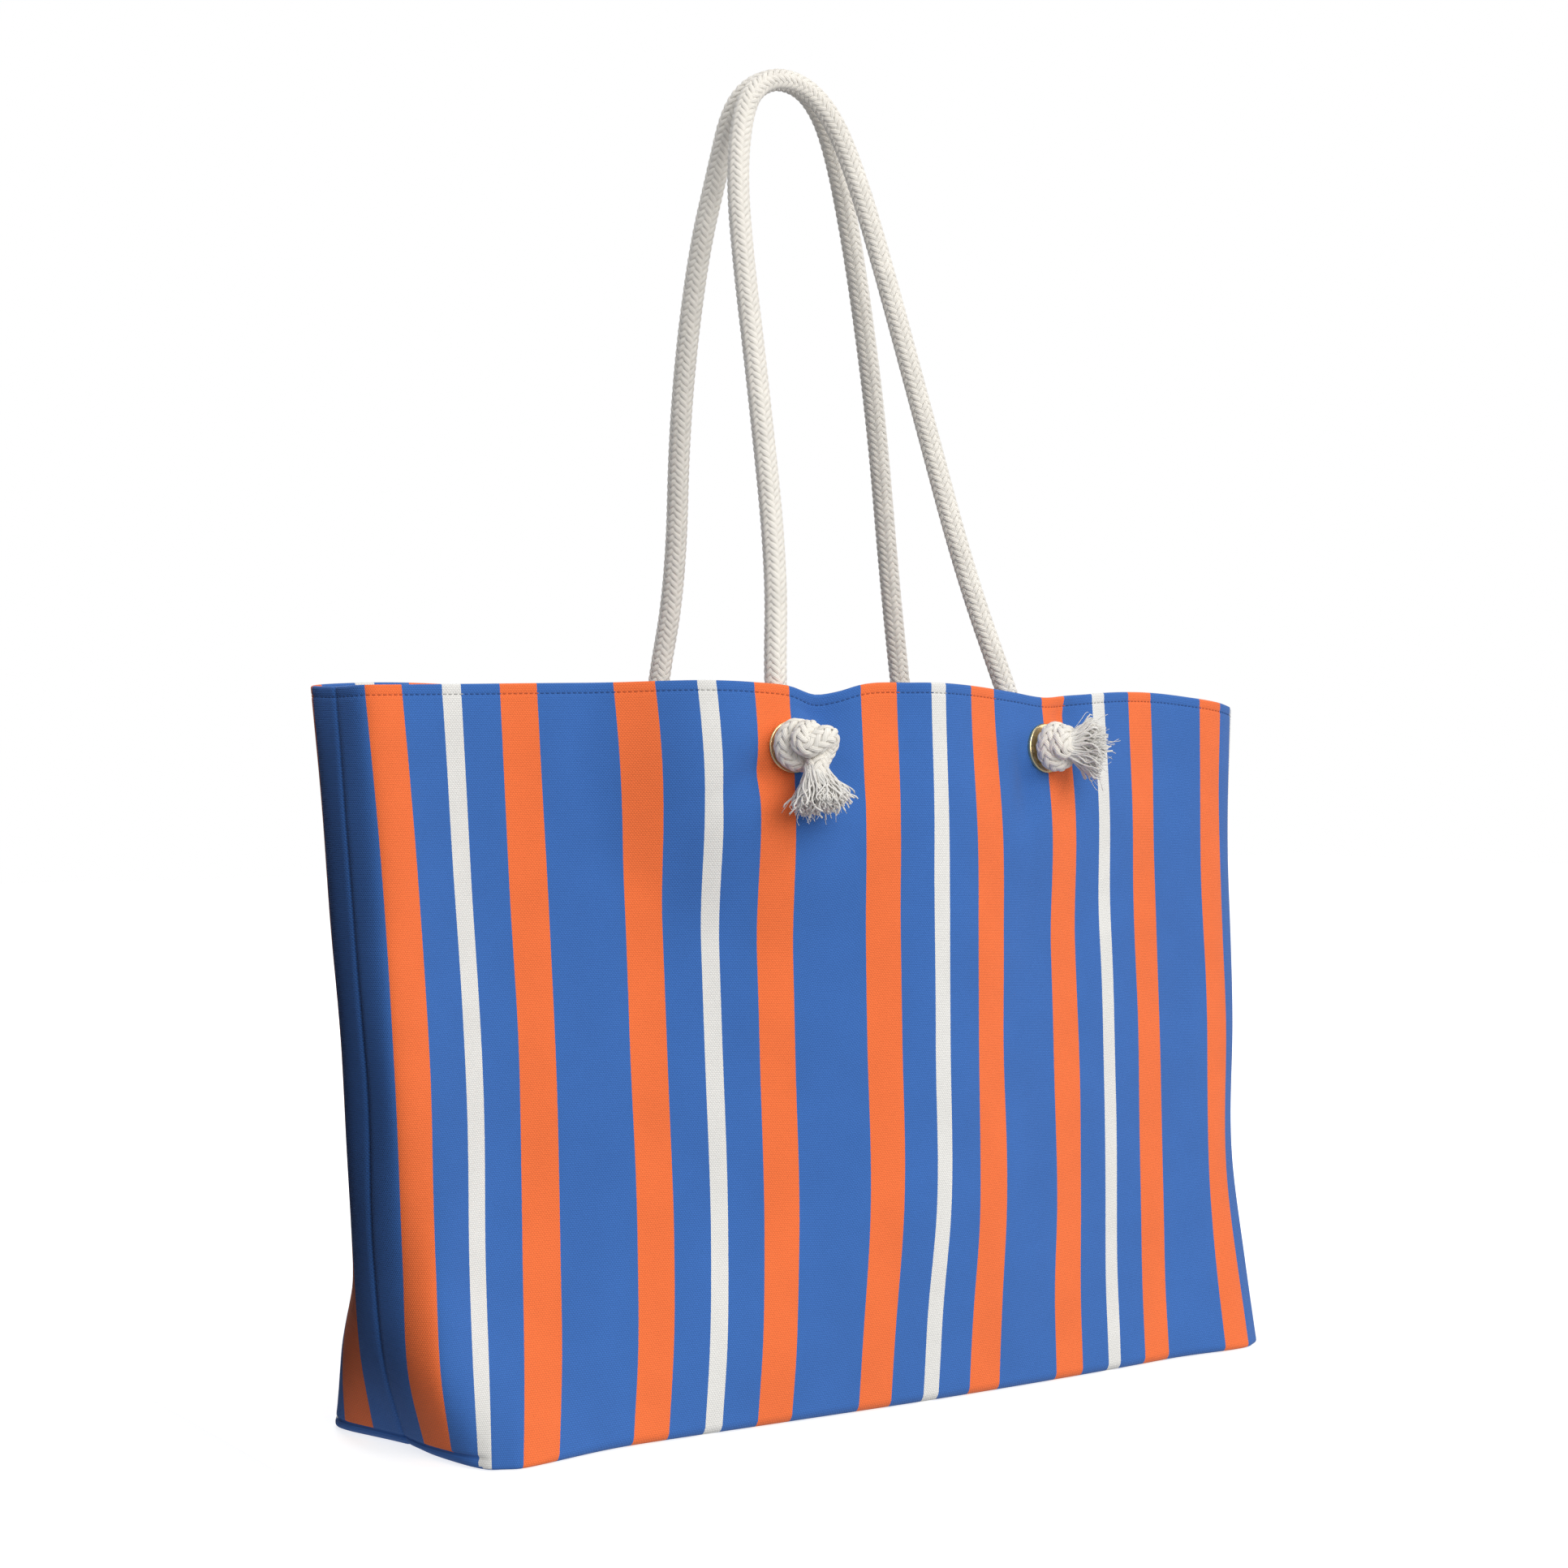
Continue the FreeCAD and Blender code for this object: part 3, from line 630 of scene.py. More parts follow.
def canvas_material(name="canvas_stripes", shade=1.0):
    """Printed stripes on a ribbed cotton canvas, with painted shade in the gaps of the weave and a painted
    highlight on its floats; or the threads sewn in it, coloured as the stripes under them darkened by painted
    shade.
    """
    graph = Graph(name)
    across, up = graph.uv()
    wobble = graph.noise(graph.place(), 900.0)
    edge = graph.math("MULTIPLY", graph.math("SUBTRACT", wobble, 0.5), 0.0002)
    pattern = PATTERN_UNITS * STRIPE_MM * MM
    place = graph.math("MODULO", graph.math("ADD", graph.math("ADD", across, edge), pattern), pattern)
    share = graph.math("DIVIDE", place, pattern)
    bands = ((0.0, BLUE), (1.0, ORANGE), (2.0, BLUE), (3.0, WHITE), (3.5, BLUE), (4.5, ORANGE), (5.5, BLUE))
    colour = graph.steps(share, [(start / PATTERN_UNITS, shade) for start, shade in bands])
    weave = weave_height(graph, across, up, 1.25 * MM, 0.85 * MM)
    cloudy = graph.noise(graph.place(), 38.0, 3.0)
    # Painted shade in the gaps of the weave and painted highlight on its floats, times a random cloudy tone.
    # A shade below 1 darkens the whole colour as painted shade.
    tone = graph.math("MULTIPLY", graph.spread(weave, 0.0, 1.0, 0.80 * shade, 1.05 * shade),
                      graph.spread(cloudy, 0.3, 0.7, 0.96, 1.03))
    graph.links.new(graph.scaled(colour, tone), graph.shader.inputs["Base Color"])
    fuzz = graph.noise(graph.place(), 2600.0, 1.0)
    height = graph.math("ADD", graph.math("MULTIPLY", weave, 0.8), graph.math("MULTIPLY", fuzz, 0.35))
    graph.bump(height, 0.55, 0.00035)
    graph.shader.inputs["Roughness"].default_value = 0.86
    graph.shader.inputs["Specular IOR Level"].default_value = 0.25
    graph.shader.inputs["Sheen Weight"].default_value = 0.12
    graph.shader.inputs["Sheen Roughness"].default_value = 0.5
    return graph.material


shell = make_shell()
shell.data.materials.append(canvas_material())


# ---------------------------------------------------------------- rope

ROPE_RADIUS = 5.5 * MM
BRAID_HALF = 8                   # strands in each direction
BRAID_TURN = 28 * MM             # length of rope in which a strand goes once round
BRAID_STEP = 0.8 * MM
STRAND_WIDTH = 2.75 * MM
STRAND_THICKNESS = 1.4 * MM
STRAND_WAVE = 0.45 * MM

# The handles' routes, millimetres, from the left knot through the grommet, up the inside, over the top and
# down to the right knot.
FRONT_ROUTE_MM = [
    (-71, -73, 313.5), (-66.6, -43, 311), (-71, -45, 341), (-64, -36, 398), (-65, -21, 485), (-67, -10, 550),
    (-66, -3, 590), (-60, 2, 621), (-51, 5, 637), (-36, 6, 644), (-19, 6, 641), (-6, 3, 627), (4, -1, 602),
    (14, -8, 562), (31, -22, 480), (47, -36, 400), (66, -45, 341), (82, -41, 311), (87, -70, 313.5),
]
BACK_ROUTE_MM = [
    (-75, 96, 312.5), (-73.5, 64, 311.5), (-70, 68.3, 341), (-64, 59, 396), (-70, 45, 480), (-67, 33, 555),
    (-59, 26, 600), (-55, 21, 626), (-46, 19, 640), (-31, 18, 647), (-15, 18, 645), (-2, 20, 634),
    (8, 23, 616), (19, 28, 588), (32, 34, 545), (50, 45, 480), (66, 57, 405), (82, 68.3, 341),
    (83.5, 63.5, 311.5), (85.5, 95, 312.5),
]


def route_line(name, route_mm, order=3):
    """Points along the smooth NURBS line of a given route, in metres."""
    data = bpy.data.curves.new(name, "CURVE")
    data.dimensions = "3D"
    data.resolution_u = 24
    spline = data.splines.new("NURBS")
    spline.points.add(len(route_mm) - 1)
    for point, place in zip(spline.points, route_mm):
        point.co = (place[0] * MM, place[1] * MM, place[2] * MM, 1)
    spline.order_u = order
    spline.use_endpoint_u = True
    holder = put_object(name, data)
    bpy.context.view_layer.update()
    mesh = bpy.data.meshes.new_from_object(holder)
    line = np.array([vertex.co for vertex in mesh.vertices], float)
    bpy.data.objects.remove(holder)
    bpy.data.meshes.remove(mesh)
    return line


def even_line(line, step):
    """The same line with evenly spaced points."""
    lengths = lengths_along(line)
    count = max(int(round(lengths[-1] / step)), 2) + 1
    at = np.linspace(0, lengths[-1], count)
    return between(at, lengths, line), at


def lengths_along(line):
    """How far each point is along a line."""
    return np.concatenate([[0], np.cumsum(np.linalg.norm(np.diff(line, axis=0), axis=1))])


def between(at, lengths, values):
    """Points or directions part of the way along a line."""
    return np.stack([np.interp(at, lengths, values[:, axis]) for axis in range(3)], axis=1)


def travelling_frames(line, start_side=(0, 0, 1)):
    """Tangents and two crosswise directions that turn as little as possible along a line."""
    tangents = np.gradient(line, axis=0)
    tangents /= np.linalg.norm(tangents, axis=1, keepdims=True)
    side = np.cross(tangents[0], start_side)
    if np.linalg.norm(side) < 0.1:
        side = np.cross(tangents[0], (1, 0, 0))
    side = side / np.linalg.norm(side)
    firsts = [side]
    for tangent in tangents[1:]:
        side = side - tangent * (side @ tangent)
        side = side / np.linalg.norm(side)
        firsts.append(side)
    firsts = np.array(firsts)
    return tangents, firsts, np.cross(tangents, firsts)


def tube_arrays(line, wide_way, thin_way, half_width, half_thickness, sides, uv_start=0.0):
    """Points, faces and corner UVs of one flattened tube, its ends left open. The widths may vary along it.
    """
    angles = np.arange(sides) * math.tau / sides
    half_width = np.broadcast_to(half_width, len(line))[:, None, None]
    half_thickness = np.broadcast_to(half_thickness, len(line))[:, None, None]
    points = (line[:, None] + wide_way[:, None] * half_width * np.cos(angles)[None, :, None]
              + thin_way[:, None] * half_thickness * np.sin(angles)[None, :, None]).reshape(-1, 3)
    count = len(line)
    rows = np.arange(count - 1)[:, None] * sides
    around = np.arange(sides)[None, :]
    following = (around + 1) % sides
    quads = [rows + around, rows + following, rows + sides + following, rows + sides + around]
    faces = np.stack(quads, axis=-1).reshape(-1, 4)
    length = lengths_along(line) + uv_start
    low = np.broadcast_to(length[:-1, None], (count - 1, sides))
    high = np.broadcast_to(length[1:, None], (count - 1, sides))
    left = np.broadcast_to(around / sides, (count - 1, sides))
    right = left + 1 / sides
    uvs = np.stack([np.stack([low, left], -1), np.stack([low, right], -1), np.stack([high, right], -1),
                    np.stack([high, left], -1)], axis=-2).reshape(-1, 4, 2)
    return points, faces, uvs


def joined_tubes(name, tubes):
    """One mesh object from many tubes, with their open ends capped."""
    points, faces, uvs = [], [], []
    total = 0
    for tube_points, tube_faces, tube_uvs, sides in tubes:
        points.append(tube_points)
        faces.extend((tube_faces + total).tolist())
        uvs.append(tube_uvs.reshape(-1, 2))
        start = list(range(total, total + sides))
        end = list(range(total + len(tube_points) - sides, total + len(tube_points)))
        faces.append(start[::-1])
        faces.append(end)
        uvs.append(np.zeros((2 * sides, 2)))
        total += len(tube_points)
    return new_mesh(name, np.concatenate(points), faces, np.concatenate(uvs), uv_name="strand")


def braid(name, line, radius=ROPE_RADIUS, step=BRAID_STEP, start_side=(0, 0, 1)):
    """A round braid of sixteen flat strands, each over two and under two, along a line."""
    centre, at = even_line(line, step)
    _, first, second = travelling_frames(centre, start_side)
    scale = radius / ROPE_RADIUS
    middle = ROPE_RADIUS - STRAND_THICKNESS / 2 - STRAND_WAVE
    tubes = []
    for way in (1, -1):
        for index in range(BRAID_HALF):
            start = index * math.tau / BRAID_HALF
            angle = (start + way * math.tau * at / BRAID_TURN)[:, None]
            crossings = 2 * index + way * 2 * BRAID_HALF * at / BRAID_TURN
            over = way * np.cos(math.pi / 2 * crossings - math.pi / 4)[:, None]
            out = first * np.cos(angle) + second * np.sin(angle)
            strand = centre + out * (middle + STRAND_WAVE * over) * scale
            along = np.gradient(strand, axis=0)
            along /= np.linalg.norm(along, axis=1, keepdims=True)
            wide = np.cross(out, along)
            wide /= np.linalg.norm(wide, axis=1, keepdims=True)
            thin = np.cross(along, wide)
            width = STRAND_WIDTH / 2 * scale
            thickness = STRAND_THICKNESS / 2 * scale
            points, faces, uvs = tube_arrays(strand, wide, thin, width, thickness, 8, uv_start=index * 0.013)
            tubes.append((points, faces, uvs, 8))
    return joined_tubes(name, tubes), centre


# ---------------------------------------------------------------- knots and frayed ends

# Routes of the rope through a knot, millimetres, in a grommet's own directions: outward, to the viewer's
# right, and up. A collar goes round the ring, a bight crosses it, and the end leaves downward or outward.
HANGING_KNOT = [
    (1, 0, 0), (6, 0, 1), (9, 3, 6), (10, -3, 8), (9, -8, 3), (8, -7, -5), (8, 0, -8), (9, 7, -5), (11, 7, 3),
    (15, 2, 7), (19, -4, 3), (20, -4, -2), (22, 1, -1), (23, 6, 3), (20, 10, 3), (16, 9, -3), (16, 5, -8),
    (18, 3, -12), (18, 3, -15),
]
OUTWARD_KNOT = [
    (1, 0, 0), (6, 0, 1), (9, 3, 6), (10, -3, 8), (9, -8, 3), (8, -7, -5), (8, 0, -8), (9, 7, -4), (11, 6, 4),
    (13, 0, 6), (15, -5, 3), (15, -6, -2), (15, -4, -2), (16, -1, 0), (17, 1, 0),
]
# Each corner's knot route, its turn about the grommet's axis in degrees, and the direction of the loose end.
KNOT_STYLE = {
    "front_left": (HANGING_KNOT, 0, (0.05, 0.15, -1.0)),
    "front_right": (OUTWARD_KNOT, 0, (0.50, 0.86, 0.0)),
    "back_left": (HANGING_KNOT, 0, (0.15, -0.2, -1.0)),
    "back_right": (HANGING_KNOT, 8, (0.1, 0.15, -1.0)),
}


def knot_line(corner):
    centre, outward, side, up = GROMMETS[corner]
    route, roll, _ = KNOT_STYLE[corner]
    turn = math.radians(roll)
    points = []
    for out, right, high in route:
        across = right * math.cos(turn) - high * math.sin(turn)
        rise = right * math.sin(turn) + high * math.cos(turn)
        points.append((centre / MM + outward * out + side * across + up * rise))
    return route_line("knot_route_" + corner, points, order=4)


def frayed_end(corner, line, seed):
    """Loose yarns that fan out from the end of the rope, and a few flyaway hairs."""
    rng = random.Random(seed)
    _, outward, side, up = GROMMETS[corner]
    tail = KNOT_STYLE[corner][2]
    start = line[-1]
    leaving = line[-1] - line[-4]
    leaving /= np.linalg.norm(leaving)
    aim = outward * tail[0] + side * tail[1] + up * tail[2]
    aim /= np.linalg.norm(aim)
    first = np.cross(aim, outward + side * 0.3)
    first /= np.linalg.norm(first)
    second = np.cross(aim, first)
    tubes = []
    for index in range(360):
        fly = index >= 318
        angle = rng.uniform(0, math.tau)
        share = math.sqrt(rng.random())
        length = rng.gauss(17.0, 1.6) * MM if not fly else rng.uniform(17, 26) * MM
        flare = share * (rng.uniform(13, 16.5) if not fly else rng.uniform(14, 21)) * MM
        root = share * 4.8 * MM
        curl = rng.uniform(-1, 1)
        wave = rng.uniform(0.5, 2.2) * MM
        phase = rng.uniform(0, math.tau)
        turns = rng.uniform(0.8, 2.0)
        steps = np.linspace(0, 1, 11)
        points = []
        for value in steps:
            bow = smoothstep(value * 0.85 + 0.05) * 1.05
            reach = root + (flare - root) * bow
            bearing = angle + curl * 0.6 * value
            across = first * math.cos(bearing) * 1.1 + second * math.sin(bearing) * 0.85
            droop = np.array([0, 0, -1.0]) * (2.5 * MM * share * value ** 2)
            sway = (first * math.sin(turns * math.tau * value + phase)
                    + second * math.cos(turns * math.tau * value * 0.8 + phase)) * wave * value
            back = leaving * 5 * MM * (1 - value)
            forward = aim * length * (value - 0.42 * share ** 2 * value ** 2)
            points.append(start - back + forward + across * reach + droop + sway)
        points = np.array(points)
        _, wide, thin = travelling_frames(points, tuple(second))
        radius = (rng.uniform(0.48, 0.70) if not fly else rng.uniform(0.15, 0.24)) * MM
        taper = radius * (1 - 0.35 * steps)
        arrays = tube_arrays(points, wide, thin, taper, taper, 5, uv_start=rng.random())
        tubes.append((*arrays, 5))
    return joined_tubes("frayed_end_%s_yarns" % corner, tubes)


def rope_material(name="cotton_rope", shade=(0.93, 0.885, 0.80)):
    """Undyed cotton: fine yarns lying side by side in each strand, with painted shade in the hollows between
    them.
    """
    graph = Graph(name)
    along, around = graph.uv("strand")
    slant = graph.math("ADD", graph.math("MULTIPLY", around, 10.0), graph.math("MULTIPLY", along, 260.0))
    yarn = graph.math("ABSOLUTE", graph.math("SINE", graph.math("MULTIPLY", slant, math.pi)))
    fibre = graph.noise(graph.place(), 3200.0, 2.0, 0.7)
    patch = graph.noise(graph.place(), 90.0, 3.0)
    # Painted shade in the hollows between the yarns, times random patches and fibres.
    tone = graph.math("MULTIPLY", graph.spread(yarn, 0.0, 1.0, 0.86, 1.02),
                      graph.spread(patch, 0.3, 0.7, 0.93, 1.04))
    tone = graph.math("MULTIPLY", tone, graph.spread(fibre, 0.3, 0.7, 0.95, 1.03))
    graph.links.new(graph.scaled(shade, tone), graph.shader.inputs["Base Color"])
    height = graph.math("ADD", yarn, graph.math("MULTIPLY", fibre, 0.6))
    graph.bump(height, 0.6, 0.0003)
    graph.shader.inputs["Roughness"].default_value = 0.9
    graph.shader.inputs["Specular IOR Level"].default_value = 0.2
    graph.shader.inputs["Sheen Weight"].default_value = 0.15
    graph.shader.inputs["Sheen Roughness"].default_value = 0.6
    return graph.material


def brass_material():
    """Polished brass plating with faint wear."""
    graph = Graph("brass_plating")
    wear = graph.noise(graph.place(), 420.0, 3.0, 0.6)
    tone = graph.spread(wear, 0.3, 0.7, 0.92, 1.05)
    graph.links.new(graph.scaled((0.80, 0.66, 0.37), tone), graph.shader.inputs["Base Color"])
    graph.links.new(graph.spread(wear, 0.3, 0.7, 0.16, 0.30), graph.shader.inputs["Roughness"])
    graph.bump(graph.noise(graph.place(), 1500.0, 2.0), 0.08, 0.0002)
    graph.shader.inputs["Metallic"].default_value = 1.0
    return graph.material


ROPE = rope_material()
# The frayed yarns get a lighter copy of the rope's cotton colour. The extra lightness is painted light
# against the shade in the deep gaps between the yarns.
YARN_PAINTED_LIGHT = rope_material("cotton_yarn_painted_light", (1.0, 0.97, 0.91))
BRASS = brass_material()


def make_handle(side_name, route_mm):
    """One rope from knot to knot, with its two knots and two frayed ends."""
    line = route_line("handle_route_" + side_name, route_mm)
    rope, centre = braid("handle_%s_braid" % side_name, line)
    rope.data.materials.append(ROPE)
    extras = []
    for hand in ("left", "right"):
        corner = "%s_%s" % (side_name, hand)
        path = knot_line(corner)
        knot, _ = braid("knot_%s_braid" % corner, path, radius=5.9 * MM, step=0.8 * MM)
        knot.data.materials.append(ROPE)
        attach(knot, "bag")
        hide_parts("knot_" + corner)
        yarns = frayed_end(corner, path, 40 + CORNERS.index(corner))
        yarns.data.materials.append(YARN_PAINTED_LIGHT)
        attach(yarns, "bag")
        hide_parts("frayed_end_" + corner)
        extras += [knot, yarns]
    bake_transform(rope)
    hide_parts("handle_rope_" + side_name, "lower_rope_%s_left" % side_name,
                "lower_rope_%s_right" % side_name)


make_handle("front", FRONT_ROUTE_MM)
make_handle("back", BACK_ROUTE_MM)
for corner in CORNERS:
    for node in ("grommet_" + corner, "grommet_washer_" + corner):
        brass_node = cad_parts[node]
        brass_node.data.materials.clear()
        brass_node.data.materials.append(BRASS)


# ---------------------------------------------------------------- lining, seams, pocket and stitches

def sheet_piece(name, front, back, across, up, closed=False, uv_name="fabric"):
    """A thin cloth between two grids of points (columns, rows, 3), with its edges closed."""
    columns, rows = front.shape[:2]
    points = np.concatenate([front.reshape(-1, 3), back.reshape(-1, 3)])
    shift = columns * rows
    faces, uvs = [], []
    last = columns if closed else columns - 1
    for column in range(last):
        following = (column + 1) % columns
        ends = (across[column], across[column + 1])
        for row in range(rows - 1):
            quad = [(column, row), (following, row), (following, row + 1), (column, row + 1)]
            places = [(ends[0], up[row]), (ends[1], up[row]), (ends[1], up[row + 1]), (ends[0], up[row + 1])]
            faces.append([a * rows + b for a, b in quad])
            uvs.extend(places)
            faces.append([a * rows + b + shift for a, b in quad[::-1]])
            uvs.extend(places[::-1])
        for row, turn in ((0, 1), (rows - 1, -1)):
            edge = [following * rows + row, column * rows + row, column * rows + row + shift,
                    following * rows + row + shift][::turn]
            faces.append(edge)
            uvs.extend([(ends[0], up[row])] * 4)
    if not closed:
        for column, turn in ((0, 1), (columns - 1, -1)):
            for row in range(rows - 1):
                start = column * rows + row
                edge = [start, start + 1, start + 1 + shift, start + shift][::turn]
                faces.append(edge)
                uvs.extend([(across[column], up[row])] * 4)
    return new_mesh(name, points, faces, uvs, uv_name)


def lining_folds(places, heights):
    """How far the loose lining stands in from the canvas, in millimetres, with soft upright folds."""
    around, share = np.meshgrid(places / ROUND_UNITS * math.tau, heights, indexing="ij")
    folds = (1.3 * np.sin(9 * around + 1.4 * share * math.tau)
             + 0.9 * np.sin(23 * around - 2.0 * share * math.tau + 1)
             + 0.6 * np.sin(41 * around + 3.0 * share * math.tau))
    slack = smoothstep((0.86 - share) / 0.12) * smoothstep(share / 0.08)
    pocket = smoothstep((np.abs(places - 48.75) - 4.4) / 1.6)[:, None]
    return LINING_DEPTH_MM + (2.9 + folds) * slack * (0.15 + 0.85 * pocket)


def make_lining():
    """A loose cotton sack sewn under the facing, with folded walls and a floor above the canvas bottom."""
    rows = np.where((HEIGHTS_MM > 2.0) & (HEIGHTS_MM < BAG_HEIGHT_MM - FACING_MM - 1.5))[0]
    places, heights = PLACES, HEIGHTS[rows]
    wall = OUTER[:, rows]
    normal = NORMALS[:, rows].copy()
    normal[..., 2] = 0
    normal /= np.linalg.norm(normal, axis=2, keepdims=True)
    depth = lining_folds(places, heights)
    front = wall - normal * (depth * MM)[..., None]
    back = front - normal * LINING_MM * MM
    base = LINING_FLOOR_MM * MM
    front[..., 2] = np.maximum(front[..., 2], base)
    back[..., 2] = np.maximum(back[..., 2], base + LINING_MM * MM)
    columns, count = front.shape[:2]
    across = np.append(places, ROUND_UNITS) * STRIPE_MM * MM
    lining = sheet_piece("lining_sack", front, back, across, heights * BAG_HEIGHT_MM * MM, closed=True)
    mesh = lining.data
    grown = bmesh.new()
    grown.from_mesh(mesh)
    grown.verts.ensure_lookup_table()
    shift = columns * count
    under = [grown.verts[column * count] for column in range(columns)]
    above = [grown.verts[column * count + shift] for column in range(columns)]
    closing = [face for face in grown.faces if len({vertex.index for vertex in face.verts}
               & {vertex.index for vertex in under}) == 2
               and len({vertex.index for vertex in face.verts} & {vertex.index for vertex in above}) == 2]
    bmesh.ops.delete(grown, geom=closing, context="FACES_ONLY")
    layer = grown.loops.layers.uv.active
    for ring in (under[::-1], above):
        face = grown.faces.new(ring)
        face.smooth = True
        for loop in face.loops:
            loop[layer].uv = (loop.vert.co.x, loop.vert.co.y)
    grown.to_mesh(mesh)
    grown.free()
    return lining, back


def wall_strip(name, columns, rows, outer_mm, inner_mm):
    """A strip of canvas that lies inside the wall, between two depths."""
    wall = OUTER[np.ix_(columns, rows)]
    normal = NORMALS[np.ix_(columns, rows)]
    across = (np.array(columns) / 6) * STRIPE_MM * MM
    return sheet_piece(name, wall - normal * outer_mm * MM, wall - normal * inner_mm * MM, across,
                       HEIGHTS[rows] * BAG_HEIGHT_MM * MM)


def columns_between(start, end):
    """Numbers of the columns from one place to another, going round past the left seam if need be."""
    numbers = [index for index, place in enumerate(PLACES) if start <= place <= end]
    if start < 0:
        numbers = [index for index, place in enumerate(PLACES) if place >= start + ROUND_UNITS] + numbers
    return numbers


def make_seam_strips():
    """The seam allowances that lie between canvas and lining: up each side, and along each gusset's foot."""
    pieces = []
    half = 8.0 / STRIPE_MM
    tall = [row for row, height in enumerate(HEIGHTS_MM) if 10 < height < BAG_HEIGHT_MM - FACING_MM - 2]
    low = [row for row, height in enumerate(HEIGHTS_MM) if 1.2 < height < 9.5]
    for side, seam in (("left", 0.0), ("right", RIGHT_SEAM)):
        narrow = columns_between(seam - half, seam + half)
        wide = columns_between(seam - 3.1, seam + 3.1)
        upright = wall_strip("side_seam_%s_allowance" % side, narrow, tall, 1.05, 1.6)
        foot = wall_strip("bottom_seam_%s_allowance" % side, wide, low, 1.05, 1.6)
        pieces.append((upright, "side_seam_" + side))
        pieces.append((foot, "bottom_seam_" + side))
    return pieces


def pocket_gap(u, v):
    """How far the pocket's cloth stands off the lining at shares of its width and height, in millimetres."""
    belly = np.sin(math.pi * u) ** 0.7 * (1 - (1 - v) ** 2.2)
    crease = 0.8 * np.sin(5 * math.pi * u + 1.5 * v) * np.sin(math.pi * u) * v
    return 0.5 + 7.0 * belly + crease


def make_pocket(lining_back):
    """A slip pocket on the back of the lining, and the folded hem along its top."""
    back_columns = [index for index, place in enumerate(PLACES) if 43.5 < place < 54.0]
    zs = lining_back[back_columns][:, :, 2]
    u = np.linspace(0, 1, 61)
    v = np.linspace(0, 1, 49)
    xs = POCKET_MM[0] * (0.5 - u)
    heights = POCKET_MM[2] + POCKET_MM[1] * v
    faces_y = np.zeros((len(u), len(v)))
    for index, height in enumerate(heights * MM):
        line_x = [np.interp(height, zs[column], lining_back[number][:, 0])
                  for column, number in enumerate(back_columns)]
        line_y = [np.interp(height, zs[column], lining_back[number][:, 1])
                  for column, number in enumerate(back_columns)]
        order = np.argsort(line_x)
        faces_y[:, index] = np.interp(xs * MM, np.array(line_x)[order], np.array(line_y)[order])
    grid_u, grid_v = np.meshgrid(u, v, indexing="ij")
    gap = pocket_gap(grid_u, grid_v) * MM

    def cloth(name, low, high, front_mm, thickness_mm):
        chosen = (v >= low - 1e-6) & (v <= high + 1e-6)
        spread = np.broadcast_to(xs[:, None] * MM, gap[:, chosen].shape)
        rise = np.broadcast_to(heights[chosen][None, :] * MM, spread.shape)
        near = faces_y[:, chosen] - gap[:, chosen] - front_mm * MM
        front = np.stack([spread, near, rise], axis=-1)
        back = front + np.array([0, thickness_mm * MM, 0])
        return sheet_piece(name, back, front, u * POCKET_MM[0] * MM, v[chosen] * POCKET_MM[1] * MM)

    pocket = cloth("inner_pocket_cloth", 0.0, 0.9, 0.4, 0.5)
    hem = cloth("inner_pocket_hem_band", 0.875, 1.0, 0.85, 1.2)
    return pocket, hem


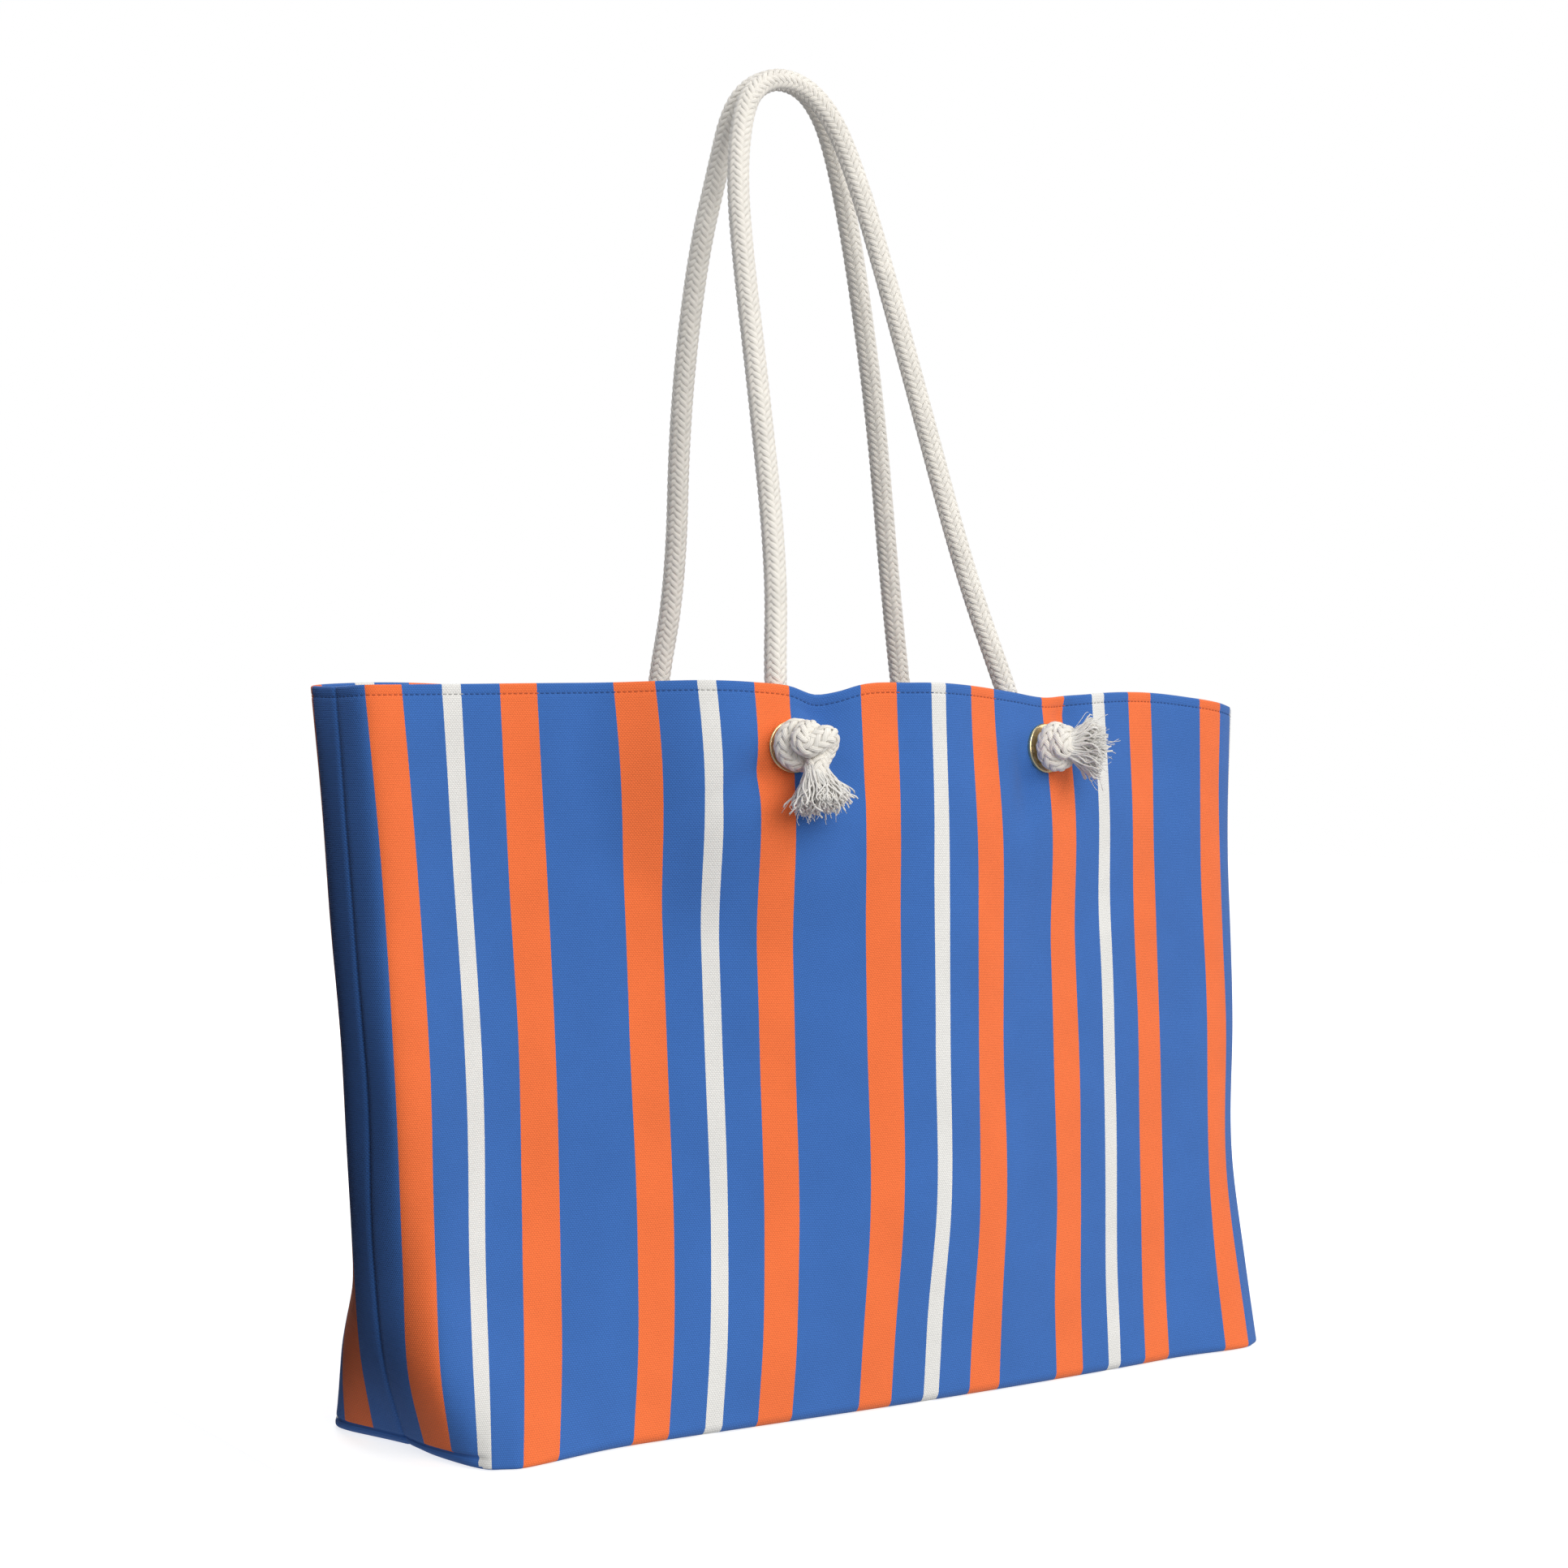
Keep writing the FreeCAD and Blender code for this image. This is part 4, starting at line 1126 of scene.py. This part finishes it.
def make_topstitch():
    """One dash of thread after another, just under the rim, on the outer face."""
    line_row = int(np.argmin(np.abs((1 - HEIGHTS) * BAG_HEIGHT_MM - STITCH_DROP_MM)))
    line = np.concatenate([OUTER[:, line_row], OUTER[:1, line_row]])
    outward = np.concatenate([NORMALS[:, line_row], NORMALS[:1, line_row]])
    places = np.append(PLACES, ROUND_UNITS)
    lengths = lengths_along(line)
    count = int(lengths[-1] / (STITCH_PITCH_MM * MM))
    tubes, shares = [], []
    for number in range(count):
        start = number * lengths[-1] / count
        at = start + np.linspace(0.0, STITCH_LENGTH_MM * MM, 5)
        points = between(at, lengths, line)
        normal = between(at, lengths, outward)
        normal /= np.linalg.norm(normal, axis=1, keepdims=True)
        rise = np.array([-0.1, 0.14, 0.2, 0.14, -0.1]) * MM
        points = points + normal * rise[:, None]
        _, wide, thin = travelling_frames(points)
        arrays = tube_arrays(points, wide, thin, 0.26 * MM, 0.26 * MM, 5)
        tubes.append((*arrays, 5))
        shares += [np.interp(start, lengths, places)] * len(arrays[0])
    stitches = joined_tubes("rim_stitches", tubes)
    layer = stitches.data.uv_layers.new(name="fabric")
    for loop, corner in zip(stitches.data.loops, layer.data):
        corner.uv = (shares[loop.vertex_index] * STRIPE_MM * MM, 0.3)
    return stitches


def lining_material():
    """Plain off-white cotton, with a fine even weave, painted shade in its gaps and a faint painted highlight
    on its floats.
    """
    graph = Graph("cotton_lining")
    across, up = graph.uv()
    weave = weave_height(graph, across, up, 0.8 * MM, 0.6 * MM)
    cloudy = graph.noise(graph.place(), 30.0, 3.0)
    # Painted shade in the gaps of the weave and a faint painted highlight on its floats, times a random
    # cloudy tone.
    tone = graph.math("MULTIPLY", graph.spread(weave, 0.0, 1.0, 0.93, 1.02),
                      graph.spread(cloudy, 0.3, 0.7, 0.96, 1.02))
    graph.links.new(graph.scaled((0.80, 0.77, 0.70), tone), graph.shader.inputs["Base Color"])
    graph.bump(weave, 0.4, 0.0002)
    graph.shader.inputs["Roughness"].default_value = 0.9
    graph.shader.inputs["Specular IOR Level"].default_value = 0.2
    return graph.material


def finish_piece(piece, material, slot_name, *nodes):
    """Gives a cloth piece its material and body, and hides the CAD nodes it stands for."""
    if material is not None:
        piece.data.materials.clear()
        piece.data.materials.append(material)
    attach(piece, "bag")
    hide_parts(*nodes)


CANVAS_WALLS = ("front_panel", "back_panel", "left_gusset", "right_gusset", "bottom_panel")
LINING = lining_material()
finish_piece(shell, None, "canvas", *["canvas_" + wall for wall in CANVAS_WALLS],
             *["rim_facing_" + side for side in ("front", "left", "back", "right")])
lining, lining_back = make_lining()
finish_piece(lining, LINING, "lining", "lining")
for strip, strip_node in make_seam_strips():
    finish_piece(strip, shell.data.materials[0], "canvas", strip_node)
pocket, pocket_hem = make_pocket(lining_back)
finish_piece(pocket, LINING, "lining", "inner_pocket")
finish_piece(pocket_hem, LINING, "lining", "inner_pocket_hem")
# The rim stitches take the stripe colour under them, darkened to 0.62 as painted shade along the stitch line.
finish_piece(make_topstitch(), canvas_material("rim_thread_painted_shade", 0.62), "thread", "rim_topstitch")
